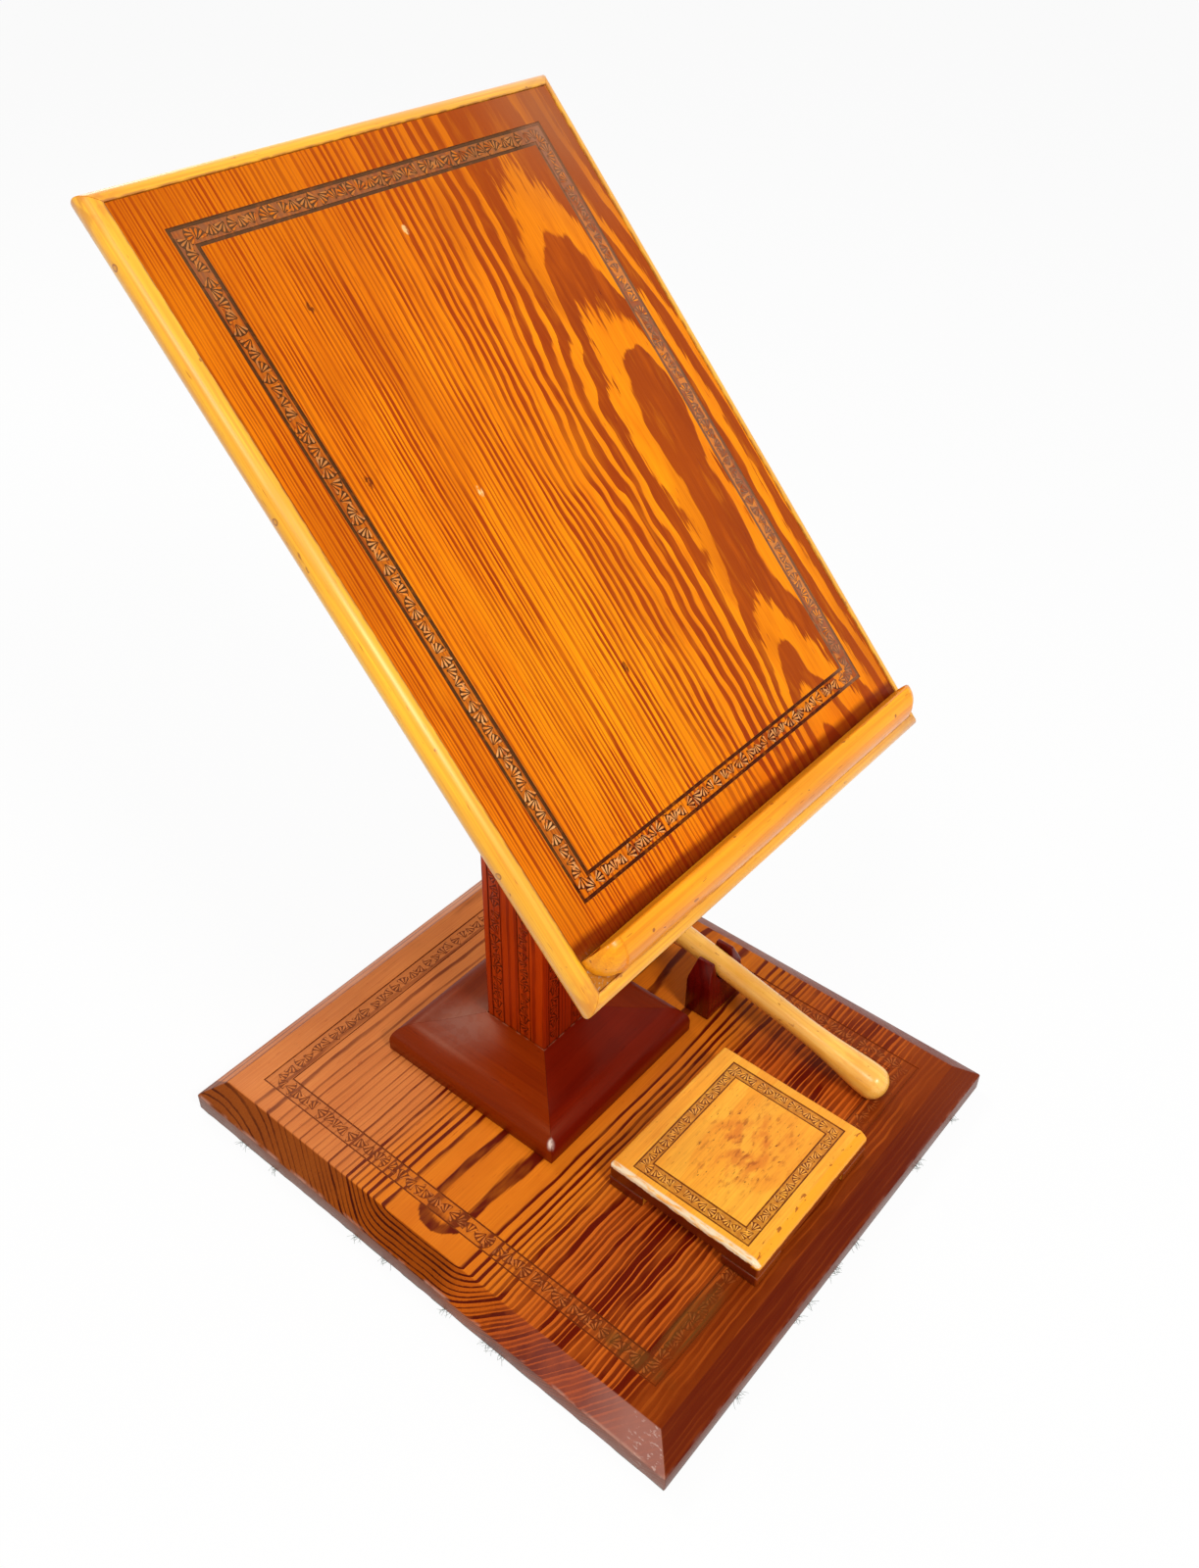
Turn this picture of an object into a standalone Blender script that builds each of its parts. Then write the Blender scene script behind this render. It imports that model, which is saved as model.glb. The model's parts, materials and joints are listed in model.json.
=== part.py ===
"""Table lectern: a sloping book board on a square post, with a loose gavel and its sounding block.

Metres, +Z up. The reader stands at -Y and +X is the reader's right. The origin is the middle of the underside.
"""

import math

import bmesh
import bpy
from mathutils import Matrix, Vector
from mathutils.geometry import interpolate_bezier

# Driving dimensions
GAP = 0.0003
OVERCUT = 0.002
HOLE_SIDES = 12
PIN_SIDES = 8

PAD_THICKNESS = 0.0010
PAD_INSET = 0.0004
BASE_LENGTH = 0.3020
BASE_DEPTH = 0.3346
BASE_EDGE = 0.0114
CHAMFER_WIDTH = 0.0132
CHAMFER_HEIGHT = 0.0097

POST_SIDE = 0.0426
POST_Y = 0.0401
PLINTH_REACH = 0.0619
PLINTH_EDGE = 0.0062
PLINTH_NOSE = (0.0084, 0.0121)
PLINTH_SHOULDER = (0.0159, 0.0205)
PLINTH_HEIGHT = 0.0260
PLINTH_HOLLOW = 0.0006

BOARD_TILT = math.radians(46.6)
BOARD_Y = -0.0984
BOARD_Z = 0.2539
PANEL_WIDTH = 0.2340
PANEL_LENGTH = 0.3340
PANEL_THICKNESS = 0.0125
PANEL_START = 0.0042
MOULDING_THICKNESS = 0.0135
MOULDING_REACH = 0.0068
MOULDING_PROUD = 0.0005
MITRE_GAP = 0.0002

LEDGE_FOOT = (0.0055, 0.0175)
LEDGE_HEIGHT = 0.0165
LEDGE_SWELL = ((0.0050, 0.0030), (0.0050, 0.0095), (0.0100, LEDGE_HEIGHT), (0.0175, LEDGE_HEIGHT))
LEDGE_LIP = (0.0195, 0.0162)
LEDGE_HOLLOW = ((0.0199, 0.0153), (0.0175, 0.0125), (0.0157, 0.0070), (0.0175, GAP))
LEDGE_END_CROWN = 0.0060
LEDGE_END_ROUND = 0.0100
LEDGE_END_FOOT = 0.0080

CLEAT_WIDTH = 0.1000
CLEAT_LENGTH = 0.1300
CLEAT_THICKNESS = 0.0150
CLEAT_BEVEL = 0.0030

BLOCK_WIDTH = 0.1030
BLOCK_DEPTH = 0.0940
BLOCK_Y = -0.1002
BLOCK_SLAB = 0.0112
BLOCK_BEVEL = 0.0014
FOOT_SIDE = 0.0220
FOOT_HEIGHT = 0.0068

GAVEL_X = 0.0900
REST_Y = -0.0175
REST_WIDTH = 0.0320
REST_DEPTH = 0.0170
REST_SHOULDER = 0.0275
REST_TOP = 0.0395
REST_RIDGE = (0.0105, 0.0080)
REST_LEAN = 0.20
REST_LEAN_START = 0.0235

GAVEL_SLOPE = math.radians(12.3)
HANDLE_SIDES = 16
HANDLE_TIP = 0.1221
HANDLE_RADIUS = 0.0067
BUTT_RADIUS = 0.0100
BUTT_LENGTH = 0.0090
GRIP_FULL = (0.0099, 0.0140)
GRIP_HANDLES = ((0.0092, 0.0260), (0.0069, 0.0380))
GRIP_END = 0.0620
NECK = ((HANDLE_RADIUS, 0.0100), (0.0065, 0.0250), (0.0060, 0.0340))
COLLAR = ((0.0085, 0.0380), (0.0088, 0.0410), (0.0072, 0.0435))
TENON_RADIUS = 0.0055
TENON_DEPTH = 0.0300
HEAD_SIDES = 24
HEAD_AT = 0.0660
HEAD_RADIUS = 0.0200
HEAD_LENGTH = 0.0660
HEAD_DOME = ((0.0130, 0.0008), (0.0165, 0.0022), (0.0178, 0.0045))
HEAD_HOLLOW = ((0.0165, 0.0075), (0.0160, 0.0090), (0.0188, 0.0105), (HEAD_RADIUS, 0.0130))
SADDLE_LENGTH = 0.0400
SADDLE_DEPTH = 0.0220

PIN_RADIUS = 0.0007
MOULDING_PIN_LENGTH = 0.0130
MOULDING_PIN_HEAD = (0.0047, -0.0016)
PINS_LEFT = (0.062, 0.215, 0.318)
PINS_RIGHT = (0.062, 0.190, 0.318)
PINS_TOP = (-0.085, 0.085)
PINS_BOTTOM = (-0.060, 0.060)
LEDGE_PIN_X = 0.0910
LEDGE_PIN_HEAD = (0.0125, 0.0142)
LEDGE_PIN_LENGTH = 0.0230

SCREW_HEAD = 0.0040
SCREW_RIM = 0.0004
SCREW_SHANK = 0.0020
SCREW_CONE = 0.0022
SCREW_POINT = 0.0050
SCREW_SINK = 0.0003
POST_SCREW_LENGTH = 0.0500
POST_SCREW_SPREAD = 0.0110
CLEAT_SCREW_LENGTH = 0.0240
CLEAT_SCREW_SPREAD = (0.0360, 0.0460)
CLEAT_POST_SCREW_LENGTH = 0.0340
CLEAT_POST_SCREWS = (-0.0200, -0.0020)
REST_SCREW_LENGTH = 0.0340
HEAD_REST_SCREW_LENGTH = 0.0360
HEAD_REST_SCREW_SPREAD = 0.0120

SMOOTH_ANGLE = math.radians(38)

# Places that follow from them
BASE_BOTTOM = PAD_THICKNESS + GAP
BASE_TOP = BASE_BOTTOM + BASE_EDGE + CHAMFER_HEIGHT
FLOOR = BASE_TOP + GAP
CLEAT_TOP = -PANEL_THICKNESS - GAP
CLEAT_BOTTOM = CLEAT_TOP - CLEAT_THICKNESS
POST_CUT = CLEAT_BOTTOM - GAP
PANEL_MIDDLE = PANEL_START + PANEL_LENGTH / 2
HEAD_REST_Y = REST_Y + HEAD_AT * math.cos(GAVEL_SLOPE)
TENON_END = HEAD_AT - HEAD_RADIUS + TENON_DEPTH
UP = (0.0, 0.0, 1.0)
DOWN = (0.0, 0.0, -1.0)


def clear_scene():
    for item in list(bpy.data.objects):
        bpy.data.objects.remove(item, do_unlink=True)


def finish(name, colour, roughness, metallic=0.0):
    """Material with one Principled BSDF."""
    material = bpy.data.materials.new(name)
    material.use_nodes = True
    shader = material.node_tree.nodes["Principled BSDF"]
    shader.inputs["Base Color"].default_value = (*colour, 1.0)
    shader.inputs["Roughness"].default_value = roughness
    shader.inputs["Metallic"].default_value = metallic
    material.diffuse_color = (*colour, 1.0)
    return material


def empty(name, location, rotation=(0.0, 0.0, 0.0)):
    """Frame that pieces are placed in."""
    frame = bpy.data.objects.new(name, None)
    bpy.context.collection.objects.link(frame)
    frame.location = location
    frame.rotation_euler = rotation
    return frame


def add_piece(name, body, material, parent=None, place=None, smooth=False):
    """Turn a bmesh into a named object with outward faces, placed in its parent's frame."""
    bmesh.ops.recalc_face_normals(body, faces=body.faces)
    mesh = bpy.data.meshes.new(name)
    body.to_mesh(mesh)
    body.free()
    if smooth:
        mesh.shade_smooth()
        mesh.set_sharp_from_angle(angle=SMOOTH_ANGLE)
    mesh.materials.append(material)
    piece = bpy.data.objects.new(name, mesh)
    bpy.context.collection.objects.link(piece)
    piece.parent = parent
    if place is not None:
        piece.location = place.to_translation()
        piece.rotation_euler = place.to_euler()
    return piece


def box(width, depth, height):
    """Box that stands on z = 0, centred on the axis."""
    body = bmesh.new()
    bmesh.ops.create_cube(body, size=1.0)
    bmesh.ops.translate(body, verts=body.verts, vec=(0.0, 0.0, 0.5))
    bmesh.ops.scale(body, verts=body.verts, vec=(width, depth, height))
    return body


def raise_top(body, rise, draw_in):
    """Extrude the top face up by rise, drawn in by draw_in on every side."""
    top = max(body.faces, key=lambda face: face.calc_center_median().z)
    raised = bmesh.ops.extrude_discrete_faces(body, faces=[top])["faces"][0]
    for corner in raised.verts:
        corner.co.x -= math.copysign(draw_in, corner.co.x)
        corner.co.y -= math.copysign(draw_in, corner.co.y)
        corner.co.z += rise


def prism(outline, length):
    """Extrude an outline of (y, z) points along X, centred on x = 0."""
    body = bmesh.new()
    corners = [body.verts.new((-length / 2, across, up)) for across, up in outline]
    face = body.faces.new(corners)
    swept = bmesh.ops.extrude_face_region(body, geom=[face])["geom"]
    moved = [item for item in swept if isinstance(item, bmesh.types.BMVert)]
    bmesh.ops.translate(body, verts=moved, vec=(length, 0.0, 0.0))
    return body


def shape_ends(body, reach):
    """Set how far both ends of a prism reach along X, worked out from each corner's y and z."""
    for corner in body.verts:
        corner.co.x = math.copysign(reach(corner.co.y, corner.co.z), corner.co.x)


def turned(profile, sides):
    """Turn (radius, height) points about Z. The profile starts and ends on the axis."""
    body = bmesh.new()
    chain = [body.verts.new((radius, 0.0, height)) for radius, height in profile]
    edges = [body.edges.new(pair) for pair in zip(chain, chain[1:])]
    bmesh.ops.spin(body, geom=chain + edges, axis=(0, 0, 1), cent=(0, 0, 0), angle=math.tau, steps=sides)
    bmesh.ops.remove_doubles(body, verts=body.verts, dist=1e-6)
    return body


def arc(centre, radii, start, end, steps):
    """Points on an ellipse from the start angle to the end angle, in degrees."""
    angles = [math.radians(start + (end - start) * step / steps) for step in range(steps + 1)]
    return [(centre[0] + radii[0] * math.cos(a), centre[1] + radii[1] * math.sin(a)) for a in angles]


def curve(start, handle_start, handle_end, end, steps):
    """Points along a Bezier curve in a plane."""
    flat = [Vector((*point, 0.0)) for point in (start, handle_start, handle_end, end)]
    return [(point.x, point.y) for point in interpolate_bezier(*flat, steps)]


def drive(start, direction):
    """Place of a pin or screw whose head is at start and whose point is along direction."""
    turn = Vector(direction).normalized().to_track_quat("-Z", "Y")
    return Matrix.Translation(start) @ turn.to_matrix().to_4x4()


def screw_profile(length):
    """Countersunk wood screw, its head's flat at z = 0 and its point at -length."""
    return [(0.0, 0.0), (SCREW_HEAD, 0.0), (SCREW_HEAD, -SCREW_RIM), (SCREW_SHANK, -SCREW_RIM - SCREW_CONE),
            (SCREW_SHANK, SCREW_POINT - length), (0.0, -length)]


def pin_profile(length):
    """Headless panel pin."""
    return [(0.0, 0.0), (PIN_RADIUS, 0.0), (PIN_RADIUS, 2 * PIN_RADIUS - length), (0.0, -length)]


def relieved(profile):
    """The hole for a turned shape: a little wider and deeper, and open past its flat end."""
    flat_radius = profile[1][0] + GAP
    sides = [(radius + GAP, height - GAP) for radius, height in profile[2:-1]]
    return [(0.0, OVERCUT), (flat_radius, OVERCUT), *sides, (0.0, profile[-1][1] - 2 * GAP)]


def cut(pieces, body, name, parent=None):
    """Cut a hidden shape out of each piece."""
    cutter = add_piece(name, body, pieces[0].data.materials[0], parent)
    cutter.hide_render = True
    cutter.display_type = "WIRE"
    for piece in pieces:
        hole = piece.modifiers.new(name, "BOOLEAN")
        hole.operation = "DIFFERENCE"
        hole.object = cutter


def fasten(pieces, places, profile, sides, material, hole_name, parent=None):
    """Add a named pin or screw at each place, and cut their holes out of the pieces."""
    holes = bmesh.new()
    for name, place in places.items():
        add_piece(name, turned(profile, sides), material, parent, place, smooth=True)
        hole = turned(relieved(profile), sides)
        hole.transform(place)
        mesh = bpy.data.meshes.new(hole_name)
        hole.to_mesh(mesh)
        hole.free()
        holes.from_mesh(mesh)
    cut(pieces, holes, hole_name, parent)


def make_base(pine, baize):
    """One wide board, chamfered round its top, with green cloth under it."""
    add_piece("baize_pad", box(BASE_LENGTH - 2 * PAD_INSET, BASE_DEPTH - 2 * PAD_INSET, PAD_THICKNESS), baize)
    board = box(BASE_LENGTH, BASE_DEPTH, BASE_EDGE)
    raise_top(board, CHAMFER_HEIGHT, CHAMFER_WIDTH)
    return add_piece("base_board", board, pine, place=Matrix.Translation((0.0, 0.0, BASE_BOTTOM)))


def plinth_outline():
    """Section from the post's face outwards: a quarter-round nose, then a hollow slope up to the post."""
    width = PLINTH_REACH - POST_SIDE / 2 - GAP
    nose_width, nose_height = PLINTH_NOSE
    nose = arc((width - nose_width, PLINTH_EDGE), PLINTH_NOSE, 0, 90, 5)
    shoulder_in, shoulder_up = PLINTH_SHOULDER
    slope = []
    for step in range(4):
        along = step / 4
        up = shoulder_up + (PLINTH_HEIGHT - shoulder_up) * along - PLINTH_HOLLOW * math.sin(math.pi * along)
        slope.append(((width - shoulder_in) * (1 - along), up))
    return [(0.0, 0.0), (width, 0.0), *nose, *slope, (0.0, PLINTH_HEIGHT)]


def make_plinth(material):
    """Four mouldings mitred round the foot of the post."""
    inner = POST_SIDE / 2 + GAP
    for side, turn in (("back", 0), ("left", 90), ("front", 180), ("right", 270)):
        body = prism(plinth_outline(), 2 * inner)
        shape_ends(body, lambda out, up: inner + out - MITRE_GAP)
        heading = Matrix.Rotation(math.radians(turn), 4, "Z")
        place = Matrix.Translation((0.0, POST_Y, FLOOR)) @ heading @ Matrix.Translation((0.0, inner, 0.0))
        add_piece(f"plinth_moulding_{side}", body, material, place=place, smooth=True)


def board_height(y, depth):
    """Height, at y, of the plane that lies depth below the book panel's face."""
    return BOARD_Z + (y - BOARD_Y) * math.tan(BOARD_TILT) + depth / math.cos(BOARD_TILT)


def make_post(pine):
    """Square post with its top cut to the board's slope."""
    body = box(POST_SIDE, POST_SIDE, BOARD_Z)
    for corner in body.verts:
        if corner.co.z > 0:
            corner.co.z = board_height(corner.co.y + POST_Y, POST_CUT) - FLOOR
    return add_piece("post", body, pine, place=Matrix.Translation((0.0, POST_Y, FLOOR)))


def make_board(pine, honey, board):
    """Book panel with half-round mouldings mitred round its edge, and the ledge across its foot."""
    panel = add_piece("book_panel", box(PANEL_WIDTH, PANEL_LENGTH, PANEL_THICKNESS), pine, board,
                      Matrix.Translation((0.0, PANEL_MIDDLE, -PANEL_THICKNESS)))
    up = MOULDING_PROUD - MOULDING_THICKNESS / 2
    half_round = arc((0.0, up), (MOULDING_REACH, MOULDING_THICKNESS / 2), 90, -90, 10)
    pieces = {"book_panel": panel}
    across = (PANEL_WIDTH, PANEL_LENGTH)
    along = (PANEL_LENGTH, PANEL_WIDTH)
    for side, turn, (run, away) in (("top", 0, across), ("left", 90, along), ("bottom", 180, across),
                                    ("right", 270, along)):
        body = prism(half_round, run)
        shape_ends(body, lambda out, up, run=run: run / 2 + GAP + out - MITRE_GAP)
        heading = Matrix.Rotation(math.radians(turn), 4, "Z")
        outwards = Matrix.Translation((0.0, away / 2 + GAP, 0.0))
        place = Matrix.Translation((0.0, PANEL_MIDDLE, 0.0)) @ heading @ outwards
        name = f"edge_moulding_{side}"
        pieces[name] = add_piece(name, body, honey, board, place, smooth=True)
    pieces["book_ledge"] = add_piece("book_ledge", ledge_body(), honey, board, smooth=True)
    return pieces


def ledge_body():
    """Thumb-shaped ledge: round outside, and hollow on the book's side."""
    outline = [(LEDGE_FOOT[0], GAP), *curve(*LEDGE_SWELL, 9), LEDGE_LIP, *curve(*LEDGE_HOLLOW, 7)]
    body = prism(outline, PANEL_WIDTH)
    shape_ends(body, ledge_reach)
    return body


def ledge_reach(along, up):
    """Half length of the ledge: drawn in towards its crown, and rounded off at its outer foot."""
    height = up / LEDGE_HEIGHT
    outer = max(0.0, 1 - (along - LEDGE_FOOT[0]) / LEDGE_END_ROUND)
    return PANEL_WIDTH / 2 - LEDGE_END_CROWN * height ** 2 - LEDGE_END_FOOT * outer ** 2 * (1 - height)


def make_cleat(pine, board):
    """Plate between the post's slanted top and the panel, bevelled round its outer side."""
    body = box(CLEAT_WIDTH, CLEAT_LENGTH, CLEAT_THICKNESS - CLEAT_BEVEL)
    raise_top(body, CLEAT_BEVEL, CLEAT_BEVEL)
    place = Matrix.Translation((0.0, PANEL_MIDDLE, CLEAT_TOP)) @ Matrix.Rotation(math.pi, 4, "X")
    return add_piece("board_cleat", body, pine, board, place)


def make_moulding_pins(pieces, board, steel):
    """Pins driven at a slant through the mouldings' rounds into the panel's edges."""
    start_out, start_up = MOULDING_PIN_HEAD
    side = PANEL_WIDTH / 2 + GAP + start_out
    end = PANEL_LENGTH / 2 + GAP + start_out
    runs = {
        "left": [((-side, along, start_up), (1.0, 0.0, -1.0)) for along in PINS_LEFT],
        "right": [((side, along, start_up), (-1.0, 0.0, -1.0)) for along in PINS_RIGHT],
        "top": [((across, PANEL_MIDDLE + end, start_up), (0.0, -1.0, -1.0)) for across in PINS_TOP],
        "bottom": [((across, PANEL_MIDDLE - end, start_up), (0.0, 1.0, -1.0)) for across in PINS_BOTTOM],
    }
    for edge, pins in runs.items():
        places = {f"moulding_pin_{edge}_{count}": drive(*pin) for count, pin in enumerate(pins, 1)}
        held = [pieces[f"edge_moulding_{edge}"], pieces["book_panel"]]
        fasten(held, places, pin_profile(MOULDING_PIN_LENGTH), PIN_SIDES, steel, f"pin_holes_{edge}", board)


def make_ledge_pins(pieces, board, steel):
    """Pins through the ledge's crown into the panel."""
    places = {f"ledge_pin_{side}": drive((across, *LEDGE_PIN_HEAD), DOWN)
              for side, across in (("left", -LEDGE_PIN_X), ("right", LEDGE_PIN_X))}
    held = [pieces["book_ledge"], pieces["book_panel"]]
    fasten(held, places, pin_profile(LEDGE_PIN_LENGTH), PIN_SIDES, steel, "ledge_pin_holes", board)


def make_board_screws(pieces, board, steel):
    """Countersunk wood screws: base to post, cleat to panel, and cleat to post."""
    places = {f"post_screw_{count}": drive((0.0, POST_Y + offset, BASE_BOTTOM + SCREW_SINK), UP)
              for count, offset in ((1, -POST_SCREW_SPREAD), (2, POST_SCREW_SPREAD))}
    held = [pieces["base_board"], pieces["post"]]
    fasten(held, places, screw_profile(POST_SCREW_LENGTH), HOLE_SIDES, steel, "post_screw_holes")

    spread_x, spread_y = CLEAT_SCREW_SPREAD
    corners = [(-spread_x, -spread_y), (spread_x, -spread_y), (spread_x, spread_y), (-spread_x, spread_y)]
    places = {f"cleat_screw_{count}": drive((across, PANEL_MIDDLE + along, CLEAT_BOTTOM + SCREW_SINK), UP)
              for count, (across, along) in enumerate(corners, 1)}
    held = [pieces["board_cleat"], pieces["book_panel"]]
    fasten(held, places, screw_profile(CLEAT_SCREW_LENGTH), HOLE_SIDES, steel, "cleat_screw_holes", board)

    post_on_board = (POST_Y - BOARD_Y + POST_CUT * math.sin(BOARD_TILT)) / math.cos(BOARD_TILT)
    places = {f"cleat_post_screw_{count}": drive((0.0, post_on_board + along, CLEAT_TOP - SCREW_SINK), DOWN)
              for count, along in enumerate(CLEAT_POST_SCREWS, 1)}
    held = [pieces["board_cleat"], pieces["post"]]
    profile = screw_profile(CLEAT_POST_SCREW_LENGTH)
    fasten(held, places, profile, HOLE_SIDES, steel, "cleat_post_screw_holes", board)


def gavel_axis_height():
    """Height of the handle's axis over its rest when the butt lies on the base."""
    lean = math.sin(GAVEL_SLOPE)
    drop = min(along * lean - radius * math.cos(GAVEL_SLOPE) for radius, along in handle_profile())
    return FLOOR - drop


def handle_underside(y):
    """Height of the handle's underside at y, near its rest."""
    axis = gavel_axis_height() + (y - REST_Y) * math.tan(GAVEL_SLOPE)
    return axis - HANDLE_RADIUS / math.cos(GAVEL_SLOPE)


def make_gavel_rest(red):
    """Block with a round-bottomed notch between two horns that lean in at front and back."""
    floor = handle_underside(REST_Y - REST_DEPTH / 2) - GAP - FLOOR
    ridge_out, ridge_in = REST_RIDGE
    half = REST_WIDTH / 2
    notch = arc((0.0, floor + ridge_in), (ridge_in, ridge_in), 0, -180, 10)
    outline = [(-half, 0.0), (half, 0.0), (half, REST_SHOULDER), (ridge_out, REST_TOP), (ridge_in, REST_TOP),
               *notch, (-ridge_in, REST_TOP), (-ridge_out, REST_TOP), (-half, REST_SHOULDER)]
    body = prism(outline, REST_DEPTH)
    bmesh.ops.bisect_plane(body, geom=body.verts[:] + body.edges[:] + body.faces[:], dist=1e-6,
                           plane_co=(0.0, 0.0, REST_LEAN_START), plane_no=(0.0, 0.0, 1.0))
    for corner in body.verts:
        rise = max(0.0, corner.co.z - REST_LEAN_START)
        corner.co.x -= math.copysign(REST_LEAN * rise, corner.co.x)
    place = Matrix.Translation((GAVEL_X, REST_Y, FLOOR)) @ Matrix.Rotation(math.pi / 2, 4, "Z")
    return add_piece("gavel_rest", body, red, place=place)


def make_head_rest(red):
    """Block with a hollowed top that carries the barrel of the gavel's head."""
    axis = gavel_axis_height() + HEAD_AT * math.sin(GAVEL_SLOPE) - FLOOR
    half = SADDLE_DEPTH / 2
    radius = HEAD_RADIUS + GAP
    reach = math.degrees(math.asin(half / radius))
    hollow = arc((0.0, axis), (radius, radius), -90 + reach, -90 - reach, 8)
    body = prism([(-half, 0.0), (half, 0.0), *hollow], SADDLE_LENGTH)
    place = Matrix.Translation((GAVEL_X, HEAD_REST_Y, FLOOR))
    return add_piece("gavel_head_rest", body, red, place=place, smooth=True)


def handle_profile():
    """Handle from butt to tenon: a round butt, a long slim grip, and a collar against the head."""
    butt = arc((0.0, BUTT_LENGTH - HANDLE_TIP), (BUTT_RADIUS, BUTT_LENGTH), -90, 0, 5)
    grip_points = (GRIP_FULL, *GRIP_HANDLES, (HANDLE_RADIUS, GRIP_END))
    grip = curve(*[(radius, from_tip - HANDLE_TIP) for radius, from_tip in grip_points], 6)
    tenon = [(TENON_RADIUS, COLLAR[-1][1]), (TENON_RADIUS, TENON_END), (0.0, TENON_END)]
    return [*butt, *grip, *NECK, *COLLAR, *tenon]


def head_profile():
    """Section of the barrel from end to end: domed end, hollow, plain belly, and the same again."""
    half = HEAD_LENGTH / 2
    side = [(0.0, half), *[(radius, half - inwards) for radius, inwards in (*HEAD_DOME, *HEAD_HOLLOW)]]
    return [(radius, -height) for radius, height in side] + list(reversed(side))


def make_gavel(honey, gavel):
    """Turned head and handle. The handle's tenon sits in a blind hole in the head."""
    turn = Matrix.Rotation(-math.pi / 2, 4, "X")
    add_piece("gavel_handle", turned(handle_profile(), HANDLE_SIDES), honey, gavel, turn, smooth=True)
    across = Matrix.Translation((0.0, HEAD_AT, 0.0)) @ Matrix.Rotation(math.pi / 2, 4, "Y")
    head = add_piece("gavel_head", turned(head_profile(), HEAD_SIDES), honey, gavel, across, smooth=True)
    bore_start = COLLAR[-1][1] - GAP
    bore_radius = TENON_RADIUS + GAP
    bore_end = TENON_END + GAP
    bore = turned([(0.0, bore_start), (bore_radius, bore_start), (bore_radius, bore_end), (0.0, bore_end)],
                  HANDLE_SIDES)
    bore.transform(turn)
    cut([head], bore, "tenon_hole", gavel)


def make_rest_screws(pieces, steel):
    """Screws up through the base into the two rests."""
    start = BASE_BOTTOM + SCREW_SINK
    places = {"gavel_rest_screw": drive((GAVEL_X, REST_Y, start), UP)}
    held = [pieces["base_board"], pieces["gavel_rest"]]
    fasten(held, places, screw_profile(REST_SCREW_LENGTH), HOLE_SIDES, steel, "gavel_rest_screw_hole")
    places = {f"head_rest_screw_{count}": drive((GAVEL_X + offset, HEAD_REST_Y, start), UP)
              for count, offset in ((1, -HEAD_REST_SCREW_SPREAD), (2, HEAD_REST_SCREW_SPREAD))}
    held = [pieces["base_board"], pieces["gavel_head_rest"]]
    fasten(held, places, screw_profile(HEAD_REST_SCREW_LENGTH), HOLE_SIDES, steel, "head_rest_screw_holes")


def make_block(honey, block):
    """Sounding block: a slab with bevelled upper edges on four corner feet."""
    body = box(BLOCK_WIDTH, BLOCK_DEPTH, BLOCK_SLAB - BLOCK_BEVEL)
    raise_top(body, BLOCK_BEVEL, BLOCK_BEVEL)
    add_piece("block_top", body, honey, block, Matrix.Translation((0.0, 0.0, FOOT_HEIGHT + GAP)))
    reach_x = (BLOCK_WIDTH - FOOT_SIDE) / 2
    reach_y = (BLOCK_DEPTH - FOOT_SIDE) / 2
    for count, (side, end) in enumerate(((-1, -1), (1, -1), (1, 1), (-1, 1)), 1):
        foot = box(FOOT_SIDE, FOOT_SIDE, FOOT_HEIGHT)
        place = Matrix.Translation((side * reach_x, end * reach_y, 0.0))
        add_piece(f"block_foot_{count}", foot, honey, block, place)


def main():
    clear_scene()
    base_pine = finish("pitch_pine_base", (0.33, 0.080, 0.020), 0.28)
    panel_pine = finish("pitch_pine_panel", (0.62, 0.190, 0.022), 0.25)
    post_pine = finish("pitch_pine_post", (0.30, 0.062, 0.016), 0.32)
    plinth_wood = finish("plinth_red_brown", (0.150, 0.020, 0.006), 0.22)
    honey = finish("moulding_honey", (0.76, 0.380, 0.060), 0.25)
    red = finish("rest_dark_red", (0.140, 0.004, 0.004), 0.30)
    pale = finish("gavel_pale_honey", (0.82, 0.480, 0.130), 0.28)
    block_wood = finish("block_pale_maple", (0.78, 0.400, 0.110), 0.32)
    baize = finish("baize_green", (0.045, 0.110, 0.065), 0.95)
    steel = finish("screw_steel", (0.45, 0.43, 0.40), 0.40, 1.0)

    board = empty("board_frame", (0.0, BOARD_Y, BOARD_Z), (BOARD_TILT, 0.0, 0.0))
    gavel = empty("gavel_frame", (GAVEL_X, REST_Y, gavel_axis_height()), (GAVEL_SLOPE, 0.0, 0.0))
    block = empty("block_frame", (0.0, BLOCK_Y, FLOOR))

    pieces = make_board(panel_pine, honey, board)
    pieces["base_board"] = make_base(base_pine, baize)
    pieces["post"] = make_post(post_pine)
    pieces["board_cleat"] = make_cleat(panel_pine, board)
    pieces["gavel_rest"] = make_gavel_rest(red)
    pieces["gavel_head_rest"] = make_head_rest(red)
    make_plinth(plinth_wood)
    make_gavel(pale, gavel)
    make_block(block_wood, block)
    make_moulding_pins(pieces, board, steel)
    make_ledge_pins(pieces, board, steel)
    make_board_screws(pieces, board, steel)
    make_rest_screws(pieces, steel)


main()
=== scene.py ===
"""Looks of the table lectern: varnished pine, honey mouldings, tooled leaf borders and a loose gavel."""

import json
import math
import random

import bmesh
import bpy
from mathutils import Matrix, Vector, noise

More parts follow.
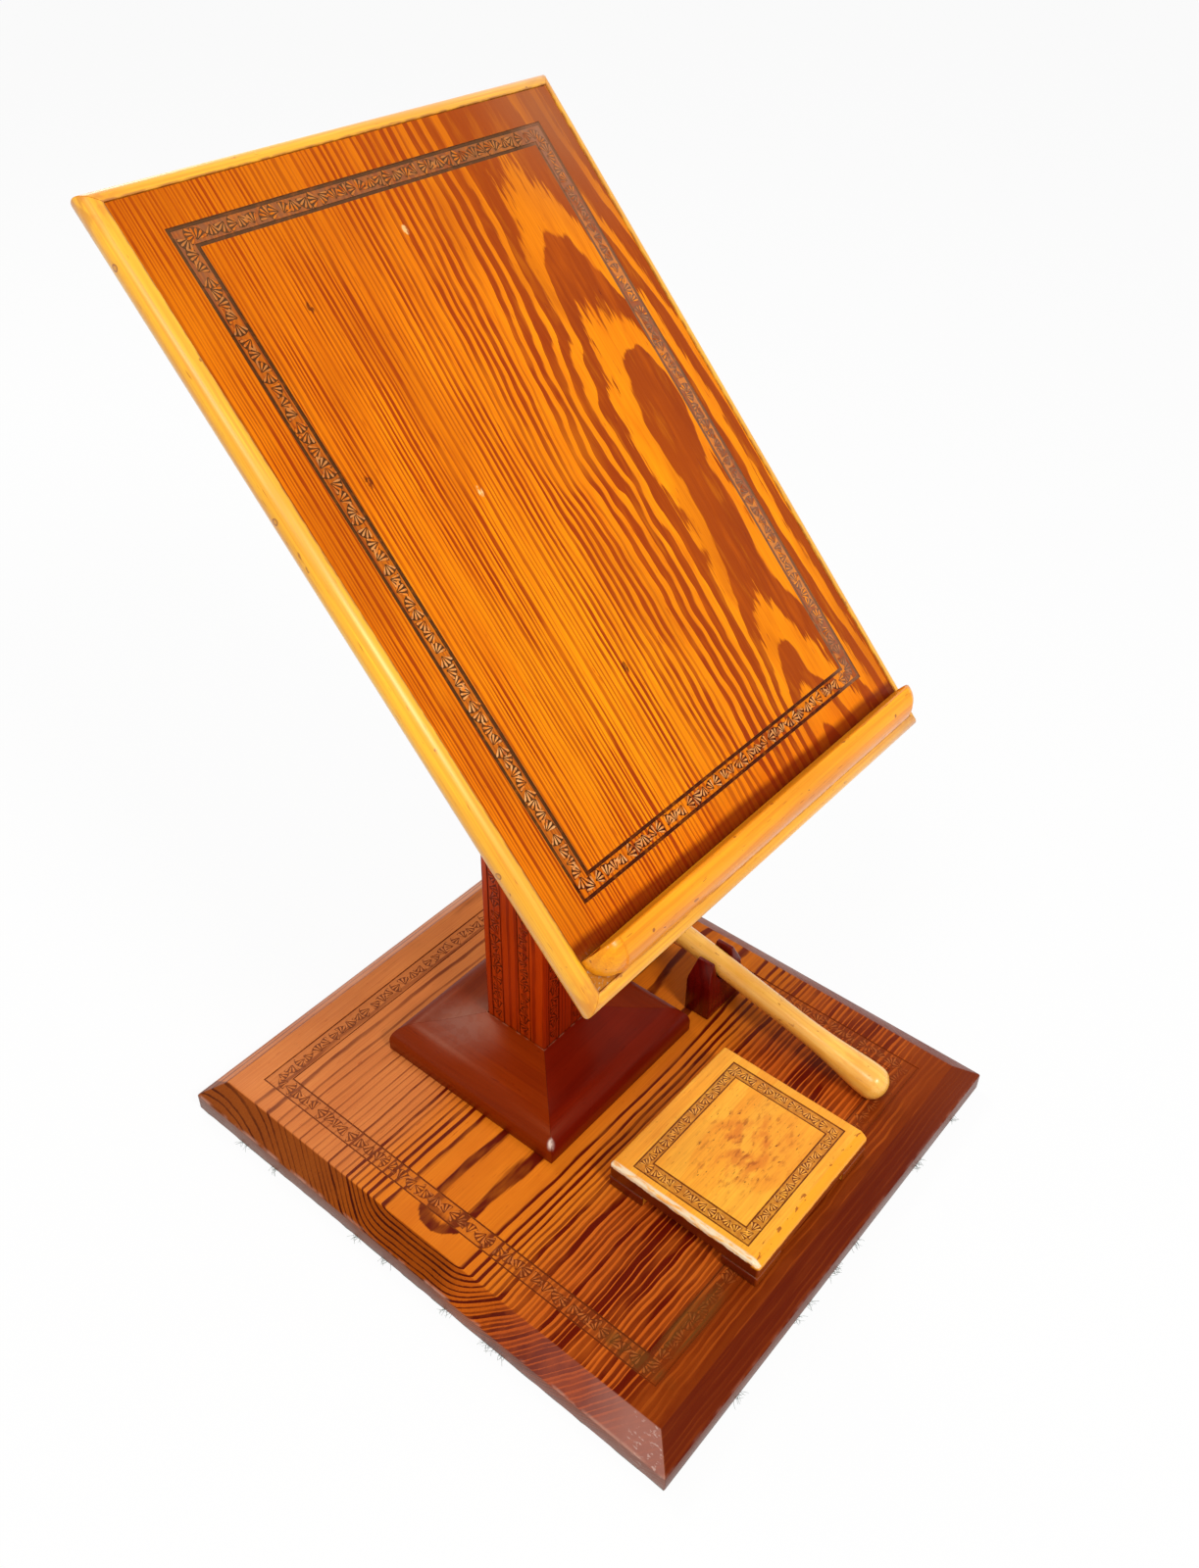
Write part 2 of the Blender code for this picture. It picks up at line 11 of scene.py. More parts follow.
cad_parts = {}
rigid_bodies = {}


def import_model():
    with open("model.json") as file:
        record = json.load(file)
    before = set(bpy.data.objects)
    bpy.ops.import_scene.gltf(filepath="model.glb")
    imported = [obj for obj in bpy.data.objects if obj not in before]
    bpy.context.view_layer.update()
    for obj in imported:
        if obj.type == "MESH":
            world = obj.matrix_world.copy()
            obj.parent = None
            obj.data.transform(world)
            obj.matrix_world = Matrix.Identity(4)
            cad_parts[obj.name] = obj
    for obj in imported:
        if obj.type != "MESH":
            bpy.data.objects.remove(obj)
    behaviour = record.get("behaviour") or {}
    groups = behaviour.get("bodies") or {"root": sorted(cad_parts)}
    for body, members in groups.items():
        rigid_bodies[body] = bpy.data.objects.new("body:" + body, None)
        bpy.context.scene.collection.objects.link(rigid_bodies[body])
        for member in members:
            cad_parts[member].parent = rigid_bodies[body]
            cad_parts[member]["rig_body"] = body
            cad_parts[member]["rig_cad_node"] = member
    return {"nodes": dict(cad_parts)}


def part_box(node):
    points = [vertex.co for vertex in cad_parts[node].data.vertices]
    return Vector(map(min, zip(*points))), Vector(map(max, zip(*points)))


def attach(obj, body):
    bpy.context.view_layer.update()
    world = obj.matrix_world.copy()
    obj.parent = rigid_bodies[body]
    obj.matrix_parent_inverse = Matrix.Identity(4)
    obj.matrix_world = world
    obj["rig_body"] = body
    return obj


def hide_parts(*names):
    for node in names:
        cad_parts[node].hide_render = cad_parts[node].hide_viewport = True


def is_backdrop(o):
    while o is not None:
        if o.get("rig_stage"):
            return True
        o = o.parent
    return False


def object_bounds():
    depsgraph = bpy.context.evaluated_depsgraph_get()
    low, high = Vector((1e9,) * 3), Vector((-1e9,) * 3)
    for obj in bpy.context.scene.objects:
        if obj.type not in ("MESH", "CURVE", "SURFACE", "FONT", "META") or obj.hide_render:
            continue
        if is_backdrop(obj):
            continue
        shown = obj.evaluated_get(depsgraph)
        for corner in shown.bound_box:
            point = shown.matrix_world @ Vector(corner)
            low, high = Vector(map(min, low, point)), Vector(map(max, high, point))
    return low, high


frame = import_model()
cad_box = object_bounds()
bpy.ops.object.select_all(action="DESELECT")


# Camera, floor and studio light
# The view is that of someone standing at the reader's left, looking down on the stand.
CAMERA_PLACE = (-0.39923, -0.32045, 0.65261)
CAMERA_HEADING = math.radians(-51.225)
CAMERA_PITCH = math.radians(39.156)
CAMERA_ROLL = math.radians(1.163)
CAMERA_LENS = 31.969
FLOOR_SIZE = 9.0
FLOOR_COLOUR = (0.88, 0.88, 0.87)
FLOOR_GLOW = 0.92
SKY_LIGHT = 0.46
WHITE = (1.0, 1.0, 1.0)

camera = bpy.data.objects.new("camera", bpy.data.cameras.new("camera"))
bpy.context.scene.collection.objects.link(camera)
heading = Matrix.Rotation(CAMERA_HEADING, 4, "Z")
pitch = Matrix.Rotation(math.radians(90) - CAMERA_PITCH, 4, "X")
roll = Matrix.Rotation(CAMERA_ROLL, 4, "Z")
camera.matrix_world = Matrix.Translation(CAMERA_PLACE) @ heading @ pitch @ roll
camera.data.lens = CAMERA_LENS
camera.data.sensor_width = 36.0
camera.data.clip_start = 0.01
bpy.context.scene.camera = camera
bpy.context.scene.view_settings.view_transform = "Standard"


class Value:
    """Number or colour that varies over a surface. Arithmetic on it makes Math nodes."""

    def __init__(self, socket):
        self.socket = socket

    def __add__(self, other):
        return calculate("ADD", self, other)

    def __sub__(self, other):
        return calculate("SUBTRACT", self, other)

    def __rsub__(self, other):
        return calculate("SUBTRACT", other, self)

    def __mul__(self, other):
        return calculate("MULTIPLY", self, other)

    def __truediv__(self, other):
        return calculate("DIVIDE", self, other)

    def __pow__(self, other):
        return calculate("POWER", self, other)

    def __abs__(self):
        return calculate("ABSOLUTE", self)


def feed(node, key, value):
    """Link a node's input to a varying value, or set it. A colour may leave out its alpha."""
    socket = node.inputs[key]
    if isinstance(value, Value):
        node.id_data.links.new(value.socket, socket)
    elif socket.type == "RGBA" and len(value) == 3:
        socket.default_value = (*value, 1.0)
    else:
        socket.default_value = value


def new_node(tree, kind, inputs=None, **settings):
    """Shader node with its settings and its inputs."""
    made = tree.nodes.new("ShaderNode" + kind)
    for setting, value in settings.items():
        setattr(made, setting, value)
    for key, value in (inputs or {}).items():
        feed(made, key, value)
    return made


def outputs_of(node):
    """A node's outputs by name, as varying values."""
    return {output.name: Value(output) for output in node.outputs}


def measure(kind, output, inputs, **settings):
    """One output of a new node, which is made where its inputs come from."""
    tree = next(value.socket.id_data for value in inputs.values() if isinstance(value, Value))
    return Value(new_node(tree, kind, inputs, **settings).outputs[output])


def calculate(operation, *values):
    """Result of a Math node."""
    return measure("Math", 0, dict(enumerate(values)), operation=operation)


def seen_directly(tree):
    """1 for rays from the camera and for reflections, and 0 for light that falls on the pieces."""
    rays = outputs_of(new_node(tree, "LightPath"))
    return calculate("MAXIMUM", rays["Is Camera Ray"], rays["Is Glossy Ray"])


world = bpy.context.scene.world or bpy.data.worlds.new("studio")
bpy.context.scene.world = world
world.use_nodes = True
sky = world.node_tree
sky.nodes.clear()
soft = Value(new_node(sky, "Background", {"Color": WHITE, "Strength": SKY_LIGHT}).outputs[0])
white = Value(new_node(sky, "Background", {"Color": WHITE, "Strength": 1.0}).outputs[0])
new_node(sky, "OutputWorld", {"Surface": measure("MixShader", 0, {0: seen_directly(sky), 1: soft, 2: white})})

bpy.ops.mesh.primitive_plane_add(size=FLOOR_SIZE)
floor = bpy.context.object
floor.name = "studio_floor"
paper = bpy.data.materials.new("studio_paper")
paper.use_nodes = True
tree = paper.node_tree
tree.nodes.clear()
matt = Value(new_node(tree, "BsdfDiffuse", {"Color": FLOOR_COLOUR}).outputs[0])
glow = Value(new_node(tree, "Emission", {"Color": WHITE, "Strength": 1.0}).outputs[0])
mixed = measure("MixShader", 0, {0: seen_directly(tree) * FLOOR_GLOW, 1: matt, 2: glow})
new_node(tree, "OutputMaterial", {"Surface": mixed})
floor.data.materials.append(paper)
floor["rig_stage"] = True


def softbox(name, place, target, size, power):
    """Round lamp that faces a point."""
    lamp = bpy.data.lights.new(name, "AREA")
    lamp.shape = "DISK"
    lamp.size = size
    lamp.energy = power
    holder = bpy.data.objects.new(name, lamp)
    bpy.context.scene.collection.objects.link(holder)
    holder.location = place
    holder.rotation_euler = (Vector(target) - Vector(place)).to_track_quat("-Z", "Y").to_euler()


softbox("key_softbox", (-0.35, -1.6, 1.75), (0.0, 0.0, 0.22), 0.55, 24.0)
softbox("left_softbox", (-1.0, -0.25, 1.75), (0.0, 0.0, 0.2), 0.5, 9.0)
softbox("rear_softbox", (0.35, 1.25, 1.4), (-0.1, 0.1, 0.0), 0.6, 7.0)


# Green baize under the base
# One sheet of thin felted wool glued to the underside. Its cut edge has frayed, and loose fibres stand out.
BAIZE_GREEN = (0.06, 0.15, 0.085)
BAIZE_GREY = (0.12, 0.15, 0.115)
BAIZE_DARK = (0.035, 0.085, 0.05)
BAIZE_CELLS = 60
BAIZE_UNEVEN = 0.0003
BAIZE_FRESH = (0.025, 0.095, 0.035)
FIBRE_TUFTS = 28
FIBRES_A_TUFT = 12
FIBRE_LENGTH = 0.0046
FIBRE_RADIUS = 0.0001


def select(*pieces):
    """Make pieces the only selected ones, the first of them active."""
    bpy.ops.object.select_all(action="DESELECT")
    for piece in pieces:
        piece.select_set(True)
    bpy.context.view_layer.objects.active = pieces[0]


def open_mesh(piece):
    """Make a piece the only selected one, and enter edit mode with all of it selected."""
    select(piece)
    bpy.ops.object.mode_set(mode="EDIT")
    bpy.ops.mesh.select_mode(type="FACE")
    bpy.ops.mesh.select_all(action="SELECT")


def close_mesh():
    """Leave edit mode."""
    bpy.ops.object.mode_set(mode="OBJECT")


def pick(rule):
    """In edit mode, select the faces whose middle and normal meet a rule."""
    mesh = bpy.context.object.data
    body = bmesh.from_edit_mesh(mesh)
    for face in body.faces:
        face.select_set(bool(rule(face.calc_center_median(), face.normal)))
    bmesh.update_edit_mesh(mesh)


def start_cube(name, low, high):
    """A cube primitive between two corners, open in edit mode."""
    low = Vector(low)
    high = Vector(high)
    bpy.ops.object.select_all(action="DESELECT")
    bpy.ops.mesh.primitive_cube_add(size=1.0, location=(low + high) / 2, scale=high - low)
    piece = bpy.context.object
    piece.name = name
    bpy.ops.object.transform_apply(location=True, rotation=True, scale=True)
    open_mesh(piece)
    return piece


def moved(along_x, along_y, along_z):
    """Matrix of a move."""
    return Matrix.Translation((along_x, along_y, along_z))


def rotated(axis, degrees):
    """Matrix of a turn about an axis."""
    return Matrix.Rotation(math.radians(degrees), 4, axis)


def settle(piece, place=None, smooth=35):
    """Bring a piece from its own frame to its place, with its object left at the origin."""
    if place is not None:
        piece.matrix_world = place @ piece.matrix_world
    select(piece)
    bpy.ops.object.transform_apply(location=True, rotation=True, scale=True)
    bpy.ops.object.shade_smooth_by_angle(angle=math.radians(smooth))


def object_place(tree):
    """Object coordinates of the point that is shaded."""
    return Value(new_node(tree, "TexCoord").outputs["Object"])


def start_material(name):
    """New material, its Principled BSDF and its Object coordinates."""
    made = bpy.data.materials.new(name)
    made.use_nodes = True
    return made, made.node_tree.nodes["Principled BSDF"], object_place(made.node_tree)


def ramp(value, low, high, to_low=0.0, to_high=1.0):
    """Value mapped smoothly from one range to another."""
    places = {"Value": value, "From Min": low, "From Max": high, "To Min": to_low, "To Max": to_high}
    return measure("MapRange", "Result", places, interpolation_type="SMOOTHSTEP")


def blend(factor, first, second, mode="MIX"):
    """Two colours mixed by a factor."""
    return measure("Mix", 2, {0: factor, 6: first, 7: second}, data_type="RGBA", blend_type=mode)


def texture(vector, scales, detail=2.0, roughness=0.5):
    """Noise whose scale differs along the three axes."""
    placed = measure("Mapping", 0, {"Vector": vector, "Scale": scales})
    grains = {"Vector": placed, "Scale": 1.0, "Detail": detail, "Roughness": roughness}
    return measure("TexNoise", "Fac", grains)


baize, shader, here = start_material("baize")
felt = texture(here, (1400, 1400, 1400), 4.0, 0.7)
patches = texture(here, (30, 30, 30), 3.0)
green = blend(ramp(felt, 0.35, 0.7), BAIZE_GREEN, BAIZE_GREY)
feed(shader, "Base Color", blend(ramp(patches, 0.3, 0.75, 0.0, 0.5), green, BAIZE_DARK))
feed(shader, "Roughness", 0.95)
feed(shader, "Sheen Weight", 0.4)
feed(shader, "Sheen Roughness", 0.5)
feed(shader, "Normal", measure("Bump", 0, {"Height": felt, "Strength": 0.8, "Distance": 0.0004}))

pad_low, pad_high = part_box("baize_pad")
pad_width = pad_high.x - pad_low.x
pad_length = pad_high.y - pad_low.y
baize_pad = start_cube("baize_cloth", pad_low, pad_high)
bpy.ops.mesh.subdivide(number_cuts=BAIZE_CELLS)
close_mesh()
for corner in baize_pad.data.vertices:
    edge = min(pad_width / 2 - abs(corner.co.x), pad_length / 2 - abs(corner.co.y))
    fray = max(0.0, 1 - edge / 0.004)
    wander = noise.noise_vector(corner.co * 140)
    corner.co.x -= math.copysign(abs(wander.x) * 3 * BAIZE_UNEVEN * fray, corner.co.x)
    corner.co.y -= math.copysign(abs(wander.y) * 3 * BAIZE_UNEVEN * fray, corner.co.y)
settle(baize_pad)
baize_pad.data.materials.append(baize)

random.seed(4)
fibres = bpy.data.curves.new("baize_fibres", "CURVE")
fibres.dimensions = "3D"
fibres.bevel_depth = FIBRE_RADIUS
fibres.bevel_resolution = 0
fibres.use_fill_caps = True
for tuft in range(FIBRE_TUFTS):
    side = random.choice((0, 0, 1, 1, 2, 3))
    turn = rotated("Z", 90 * side)
    half, reach = (pad_length / 2, pad_width / 2) if side % 2 == 0 else (pad_width / 2, pad_length / 2)
    along = random.uniform(-half, half) * 0.97
    for strand in range(FIBRES_A_TUFT):
        root = along + random.gauss(0.0, 0.0016)
        length = FIBRE_LENGTH * random.uniform(0.25, 1.0)
        lean = random.uniform(-1.1, 1.1)
        curl = random.uniform(-0.0012, 0.0012)
        lift = random.uniform(0.0, 0.5)
        spline = fibres.splines.new("POLY")
        spline.points.add(3)
        for count, point in enumerate(spline.points):
            part = count / 3
            out = -reach + 0.0008 - length * part
            aside = root + length * lean * part + curl * math.sin(math.pi * part)
            up = 0.00045 + length * lift * part * (1.3 - part)
            place = turn @ Vector((out, max(-half, min(half, aside)), max(FIBRE_RADIUS * 1.2, up)))
            point.co = (*place, 1.0)
            point.radius = 1.0 - 0.5 * part
fringe = bpy.data.objects.new("baize_fibres", fibres)
bpy.context.scene.collection.objects.link(fringe)
select(fringe)
bpy.ops.object.convert(target="MESH")
fringe = bpy.context.object
fringe.data.materials.clear()
wisps, shader, here = start_material("baize_wisps")
feed(shader, "Base Color", blend(texture(here, (90, 90, 90)), BAIZE_FRESH, BAIZE_GREY))
feed(shader, "Roughness", 0.9)
fringe.data.materials.append(wisps)
for piece in (baize_pad, fringe):
    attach(piece, "stand")
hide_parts("baize_pad")


# Base board
# One wide softwood board, stained and varnished, with a broad chamfer round its top and a tooled leaf border.
# The border is two scribed lines with fan-shaped leaves punched between them.
BASE_GOLD = (0.7, 0.178, 0.009)
BASE_PALE_SHEEN = (0.62, 0.182, 0.042)
BASE_BROWN = (0.56, 0.11, 0.01)
BASE_LATE = (0.11, 0.005, 0.001)
BASE_CHAMFER = (0.0132, 0.0097)
BASE_BORDER = ((0.1239, 0.1401), (0.1123, 0.1272))
# The stain in scribed lines, the wash on the sunk ground and its share, and the leaf tops, rubbed paler and
# with a painted highlight
BASE_TOOLING = ((0.15, 0.026, 0.005), (0.32, 0.075, 0.014), 0.3, (0.5, 0.14, 0.03))
BASE_PITH = 0.0855
BASE_RING = 0.0016
BASE_HEART = (0.01, 0.04)
BASE_FIGURE = (((0.0, -0.15), (0.03, 0.035), 1.1), ((-0.014, 0.115), (0.022, 0.05), -0.5),
               ((0.028, -0.03), (0.028, 0.19), -0.5))
ARRIS = 0.0006
AMBER = (1.0, 0.5, 0.15)
VARNISH_WEAR = 0.12
SCRIBE_WALL = 0.00018
SCRIBE_DEPTH = 0.0005
GROUND_DEPTH = 0.00022
LEAF_PITCH = 0.0064
LEAF_TURNS = (125, 0, 50, 90)
LEAF_HALF_ANGLE = 48
LOBES = 4
LOBE_ROOT = 0.001
LOBE_TIP = 0.006
LOBE_WIDTH = 0.0012


def new_group(name, inputs, outputs):
    """Node group with named sockets. Inputs are pairs of name and default value."""
    group = bpy.data.node_groups.new(name, "ShaderNodeTree")
    for socket, value in inputs:
        kind = "NodeSocketFloat"
        if isinstance(value, tuple):
            kind = "NodeSocketColor" if len(value) == 4 else "NodeSocketVector"
        made = group.interface.new_socket(name=socket, in_out="INPUT", socket_type=kind)
        made.default_value = value
    for socket, kind in outputs:
        group.interface.new_socket(name=socket, in_out="OUTPUT", socket_type=kind)
    return group, outputs_of(group.nodes.new("NodeGroupInput")), group.nodes.new("NodeGroupOutput")


def split(vector):
    """A vector's values along X, Y and Z."""
    return list(outputs_of(new_node(vector.socket.id_data, "SeparateXYZ", {"Vector": vector})).values())


# Growth rings of solid softwood: X runs across the board, Y along the grain and Z through it.
solid_wood, given, result = new_group("solid wood rings", [
    ("Vector", (0.0, 0.0, 0.0)), ("Ring Width", 0.002), ("Pith X", 0.0), ("Pith Z", 0.1), ("Sway", 0.003),
    ("Wave", 0.001), ("Ragged", 0.45), ("Late Share", 0.42), ("Figure", 0.0), ("Contrast", 1.0),
    ("Uneven Width", 0.0), ("Uneven Strength", 0.45),
    ("Early Colour", (0.5, 0.2, 0.05, 1.0)), ("Late Colour", (0.2, 0.05, 0.01, 1.0))],
    [("Color", "NodeSocketColor"), ("Late", "NodeSocketFloat"), ("Fibre", "NodeSocketFloat")])
axes = split(given["Vector"])
across = axes[0] - given["Pith X"]
through = axes[2] - given["Pith Z"]
radius = calculate("SQRT", across * across + through * through)
slow = texture(given["Vector"], (9, 7, 9), 1.0)
medium = texture(given["Vector"], (45, 24, 45), 2.0)
fine = texture(given["Vector"], (560, 38, 560), 3.0, 0.6)
slow = (slow - 0.5) * given["Sway"]
medium = (medium - 0.5) * given["Wave"]
radius += slow + medium
rings = radius / given["Ring Width"] + given["Figure"]
years = measure("TexNoise", "Fac", {"W": rings * 0.43, "Scale": 1.0, "Detail": 0.0}, noise_dimensions="1D")
rings = (years - 0.5) * given["Uneven Width"] + rings
fine -= 0.5
rings = fine * 0.12 + rings
phase = calculate("FRACT", rings)
season = measure("TexWhiteNoise", "Value", {"W": calculate("FLOOR", rings)}, noise_dimensions="1D")
late_share = given["Late Share"] * (season * 0.7 + 0.65)
late_start = fine * given["Ragged"] + (0.97 - late_share)
late = ramp(phase, late_start - 0.09, late_start + 0.07)
late *= ramp(phase, 0.95, 1.0, 1.0, 0.0)
weak = (1.0 - season) * given["Uneven Strength"]
strength = late * (1.07 - weak)
strength += phase * 0.12
patchy = texture(given["Vector"], (60, 20, 60), 3.0, 0.6)
strength *= ramp(patchy, 0.25, 0.65, 0.5, 1.1)
strength *= given["Contrast"]
streak = texture(given["Vector"], (1500, 22, 1500), 2.0, 0.6)
pores = ramp(texture(given["Vector"], (1250, 120, 1250), 1.0), 0.7, 0.78)
blotch = texture(given["Vector"], (26, 11, 26), 3.0)
wood = blend(strength, given["Early Colour"], given["Late Colour"])
shade = streak * 0.44 + 0.78
shade *= blotch * 0.5 + 0.75
shade *= pores * -0.32 + 1.0
deep = shade ** 1.7
tint = measure("CombineColor", 0, {0: shade, 1: deep, 2: deep})
wood = blend(1.0, wood, tint, "MULTIPLY")
feed(result, "Color", wood)
feed(result, "Late", late)
feed(result, "Fibre", streak - pores * 0.8)

# Old varnish: uneven gloss, fine scratches, and dust nibs.
old_varnish, given, result = new_group(
    "old varnish", [("Vector", (0.0, 0.0, 0.0)), ("Gloss", 0.22)],
    [("Roughness", "NodeSocketFloat"), ("Height", "NodeSocketFloat")])
patches = texture(given["Vector"], (26, 26, 26), 4.0, 0.6)
smear = texture(given["Vector"], (210, 45, 210), 3.0, 0.65)
nibs = ramp(texture(given["Vector"], (900, 900, 900), 1.0), 0.74, 0.82)
ripple = texture(given["Vector"], (120, 90, 120), 2.0)
dull = (ramp(patches, 0.4, 0.75) + ramp(smear, 0.45, 0.8, 0.0, 0.6)) * VARNISH_WEAR
feed(result, "Roughness", given["Gloss"] + dull)
feed(result, "Height", nibs * 0.5 + ripple)


def spot(vector, place, size):
    """Value that falls from 1 at a place to 0 at the ends of the given half sizes."""
    frame_of_spot = {"Vector": vector, "Location": place, "Scale": size}
    placed = measure("Mapping", 0, frame_of_spot, vector_type="TEXTURE")
    return measure("TexGradient", "Fac", {"Vector": placed}, gradient_type="SPHERICAL")


def cloud(vector, place, size, rise=1.0):
    """The same, but falling smoothly from the rise."""
    return ramp(spot(vector, place, size), 0.0, 1.0, 0.0, rise)


def growth(width, pith, sway, **more):
    """Inputs of the rings group: the rings' width, their pith in X and Z, how far they sway, and others."""
    others = {name.replace("_", " ").title(): value for name, value in more.items()}
    return {"Ring Width": width, "Pith X": pith[0], "Pith Z": pith[1], "Sway": sway, **others}


def bulges(local, figure):
    """Rings added by bulges of the trunk, from their places across and along, half sizes and rises."""
    lifts = [cloud(local, (*middle, 0.0), (*size, 0.1), rise) for middle, size, rise in figure]
    return sum(lifts[1:], lifts[0])


def varnished_wood(name, place, rings, early, late, gloss=0.3, coat=0.03, coat_gloss=0.27, specular=0.14,
                   grain=0.5, relief=0.35):
    """Material of one board. In the frame given by place, its grain runs along Y and Z goes through it."""
    made, shader, here = start_material(name)
    frame_of_board = {"Vector": here, "Location": place.to_translation(), "Rotation": place.to_euler()}
    local = measure("Mapping", 0, frame_of_board, vector_type="TEXTURE")
    rings = {"Vector": local, "Early Colour": early, "Late Colour": late, **rings}
    wood = new_node(made.node_tree, "Group", rings, node_tree=solid_wood)
    grown = outputs_of(wood)
    film = new_node(made.node_tree, "Group", {"Vector": local, "Gloss": gloss}, node_tree=old_varnish)
    film = outputs_of(film)
    height = grown["Fibre"] * grain + (grown["Late"] * grain + film["Height"])
    bump = measure("Bump", 0, {"Height": height, "Strength": relief, "Distance": 0.00022})
    for key, value in (("Base Color", grown["Color"]), ("Roughness", film["Roughness"]), ("Normal", bump),
                       ("Specular IOR Level", specular), ("Specular Tint", AMBER), ("Coat Weight", coat),
                       ("Coat Roughness", coat_gloss)):
        feed(shader, key, value)
    return made, shader, local, wood


def stain(shader, share, colour, mode="MIX"):
    """Lay a colour over what the shader has, by a share from 0 to 1."""
    under = Value(shader.inputs["Base Color"].links[0].from_socket)
    feed(shader, "Base Color", blend(share, under, colour, mode))


def stain_tooling(shader, local, dark, wash, wash_share, rubbed_and_glint):
    """Dark stain left in the scribed lines, a wash on the sunk ground, and leaf tops rubbed paler and given a
    painted highlight.
    """
    tooled = Value(new_node(shader.id_data, "Attribute", attribute_name="tooled").outputs["Fac"])
    uneven = texture(local, (260, 260, 260), 3.0, 0.6)
    stain(shader, ramp(tooled, 0.2, 0.28) * wash_share * ramp(uneven, 0.2, 0.7, 0.5, 1.1), wash)
    tops = ramp(tooled, 0.05, 0.09) * ramp(tooled, 0.15, 0.22, 1.0, 0.0)
    stain(shader, tops * ramp(uneven, 0.35, 0.65, 0.1, 0.85), rubbed_and_glint)
    stain(shader, ramp(tooled, 0.42, 0.62) * ramp(uneven, 0.25, 0.55, 0.75, 1.0), dark)


def round_arrises(piece, width, segments, angle):
    """Round every arris sharper than the angle with a Bevel modifier, and apply it."""
    bevel = piece.modifiers.new("arrises", "BEVEL")
    bevel.width = width
    bevel.segments = segments
    bevel.limit_method = "ANGLE"
    bevel.angle_limit = math.radians(angle)
    bevel.harden_normals = False
    bpy.context.view_layer.objects.active = piece
    bpy.ops.object.modifier_apply(modifier="arrises")


def dress(piece, finish, node, body="stand"):
    """Give a piece its material, hide the part that it stands for, and attach it to the body that it moves
    with.
    """
    piece.data.materials.clear()
    piece.data.materials.append(finish)
    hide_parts(node)
    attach(piece, body)


def tool_face(piece, face, rule, cuts, scribe):
    """Scribe a flat face in a given frame: cut it along lines, then inset the band for groove and ground."""
    back = face.inverted()
    turned = back.to_3x3()

    def flat(middle, normal):
        return abs((back @ middle).z) < 1e-5 and (turned @ normal).z > 0.99

    open_mesh(piece)
    for place, normal in cuts:
        pick(flat)
        facing = face.to_3x3() @ Vector((*normal, 0.0))
        bpy.ops.mesh.bisect(plane_co=face @ Vector((*place, 0.0)), plane_no=facing)
    pick(lambda middle, normal: flat(middle, normal) and rule(back @ middle))
    bpy.ops.mesh.inset(thickness=SCRIBE_WALL, depth=-SCRIBE_DEPTH, use_boundary=True)
    bpy.ops.mesh.inset(thickness=scribe, depth=0.0, use_boundary=True)
    bpy.ops.mesh.inset(thickness=SCRIBE_WALL, depth=SCRIBE_DEPTH - GROUND_DEPTH, use_boundary=True)
    close_mesh()
    tooled = piece.data.attributes.get("tooled") or piece.data.attributes.new("tooled", "FLOAT", "POINT")
    for corner in piece.data.vertices:
        spot_on_face = back @ corner.co
        if -1.2 * SCRIBE_DEPTH < spot_on_face.z < -1e-6 and rule(spot_on_face):
            tooled.data[corner.index].value = 1.0 if spot_on_face.z < -0.9 * SCRIBE_DEPTH else 0.3


def start_outline(name, points, fill="NGON"):
    """A circle primitive with its corners moved to the given points, open in edit mode."""
    bpy.ops.object.select_all(action="DESELECT")
    bpy.ops.mesh.primitive_circle_add(vertices=len(points), fill_type=fill)
    piece = bpy.context.object
    piece.name = name
    for corner, point in zip(piece.data.vertices, points):
        corner.co = point
    open_mesh(piece)
    return piece


def extrude(offset):
    """In edit mode, draw the selected faces out."""
    bpy.ops.mesh.extrude_region_move(TRANSFORM_OT_translate={"value": offset})


def draw_out(offset, scale, centre):
    """In edit mode, draw the selected faces out and scale them about a centre."""
    extrude(offset)
    bpy.ops.transform.resize(value=scale, center_override=centre)


def start_plate(name, outline, height):
    """An outline in X and Y raised to a closed plate, left in edit mode."""
    plate = start_outline(name, [(*point, 0.0) for point in outline])
    extrude((0, 0, height))
    return plate


def leaf_fan(name):
    """Punched leaf: four raised lobes that fan out from a stem, on a dark pit just over the sunk ground."""
    tips = ellipse((0.0, 0.0), (LOBE_TIP + 0.0003, LOBE_TIP + 0.0003), -LEAF_HALF_ANGLE, LEAF_HALF_ANGLE, 8)
    pit = start_plate(name, [(0.0002, 0.0), *tips], 0.00005)
    close_mesh()
    pit.location.z = -GROUND_DEPTH - 0.00002
    parts = [pit]
    for count in range(LOBES):
        angle = (count / (LOBES - 1) - 0.5) * 2 * (LEAF_HALF_ANGLE - 9)
        shape = [(LOBE_ROOT, 0.0), (LOBE_TIP * 0.55, LOBE_WIDTH * 0.34), (LOBE_TIP * 0.86, LOBE_WIDTH * 0.5),
                 (LOBE_TIP * 0.97, LOBE_WIDTH * 0.3), (LOBE_TIP, 0.0)]
        shape += [(along, -aside) for along, aside in reversed(shape[1:-1])]
        lobe = start_plate(f"{name}_lobe", shape[::-1], GROUND_DEPTH * 0.6)
        bpy.ops.mesh.inset(thickness=LOBE_WIDTH * 0.2, depth=0.00008)
        close_mesh()
        lobe.matrix_world = rotated("Z", angle) @ moved(0, 0, -GROUND_DEPTH)
        parts.append(lobe)
    for part in parts:
        value = 0.85 if part is pit else 0.12
        attribute = part.data.attributes.new("tooled", "FLOAT", "POINT")
        for corner in part.data.vertices:
            low_edge = part is not pit and corner.co.z < 0.00001
            attribute.data[corner.index].value = 0.85 if low_edge else value
    select(*parts)
    bpy.ops.object.join()
    bpy.ops.object.transform_apply(location=True, rotation=True, scale=True)
    open_mesh(pit)
    bpy.ops.mesh.normals_make_consistent(inside=False)
    close_mesh()
    bpy.ops.object.shade_smooth_by_angle(angle=math.radians(60))
    pit.hide_render = True
    return pit


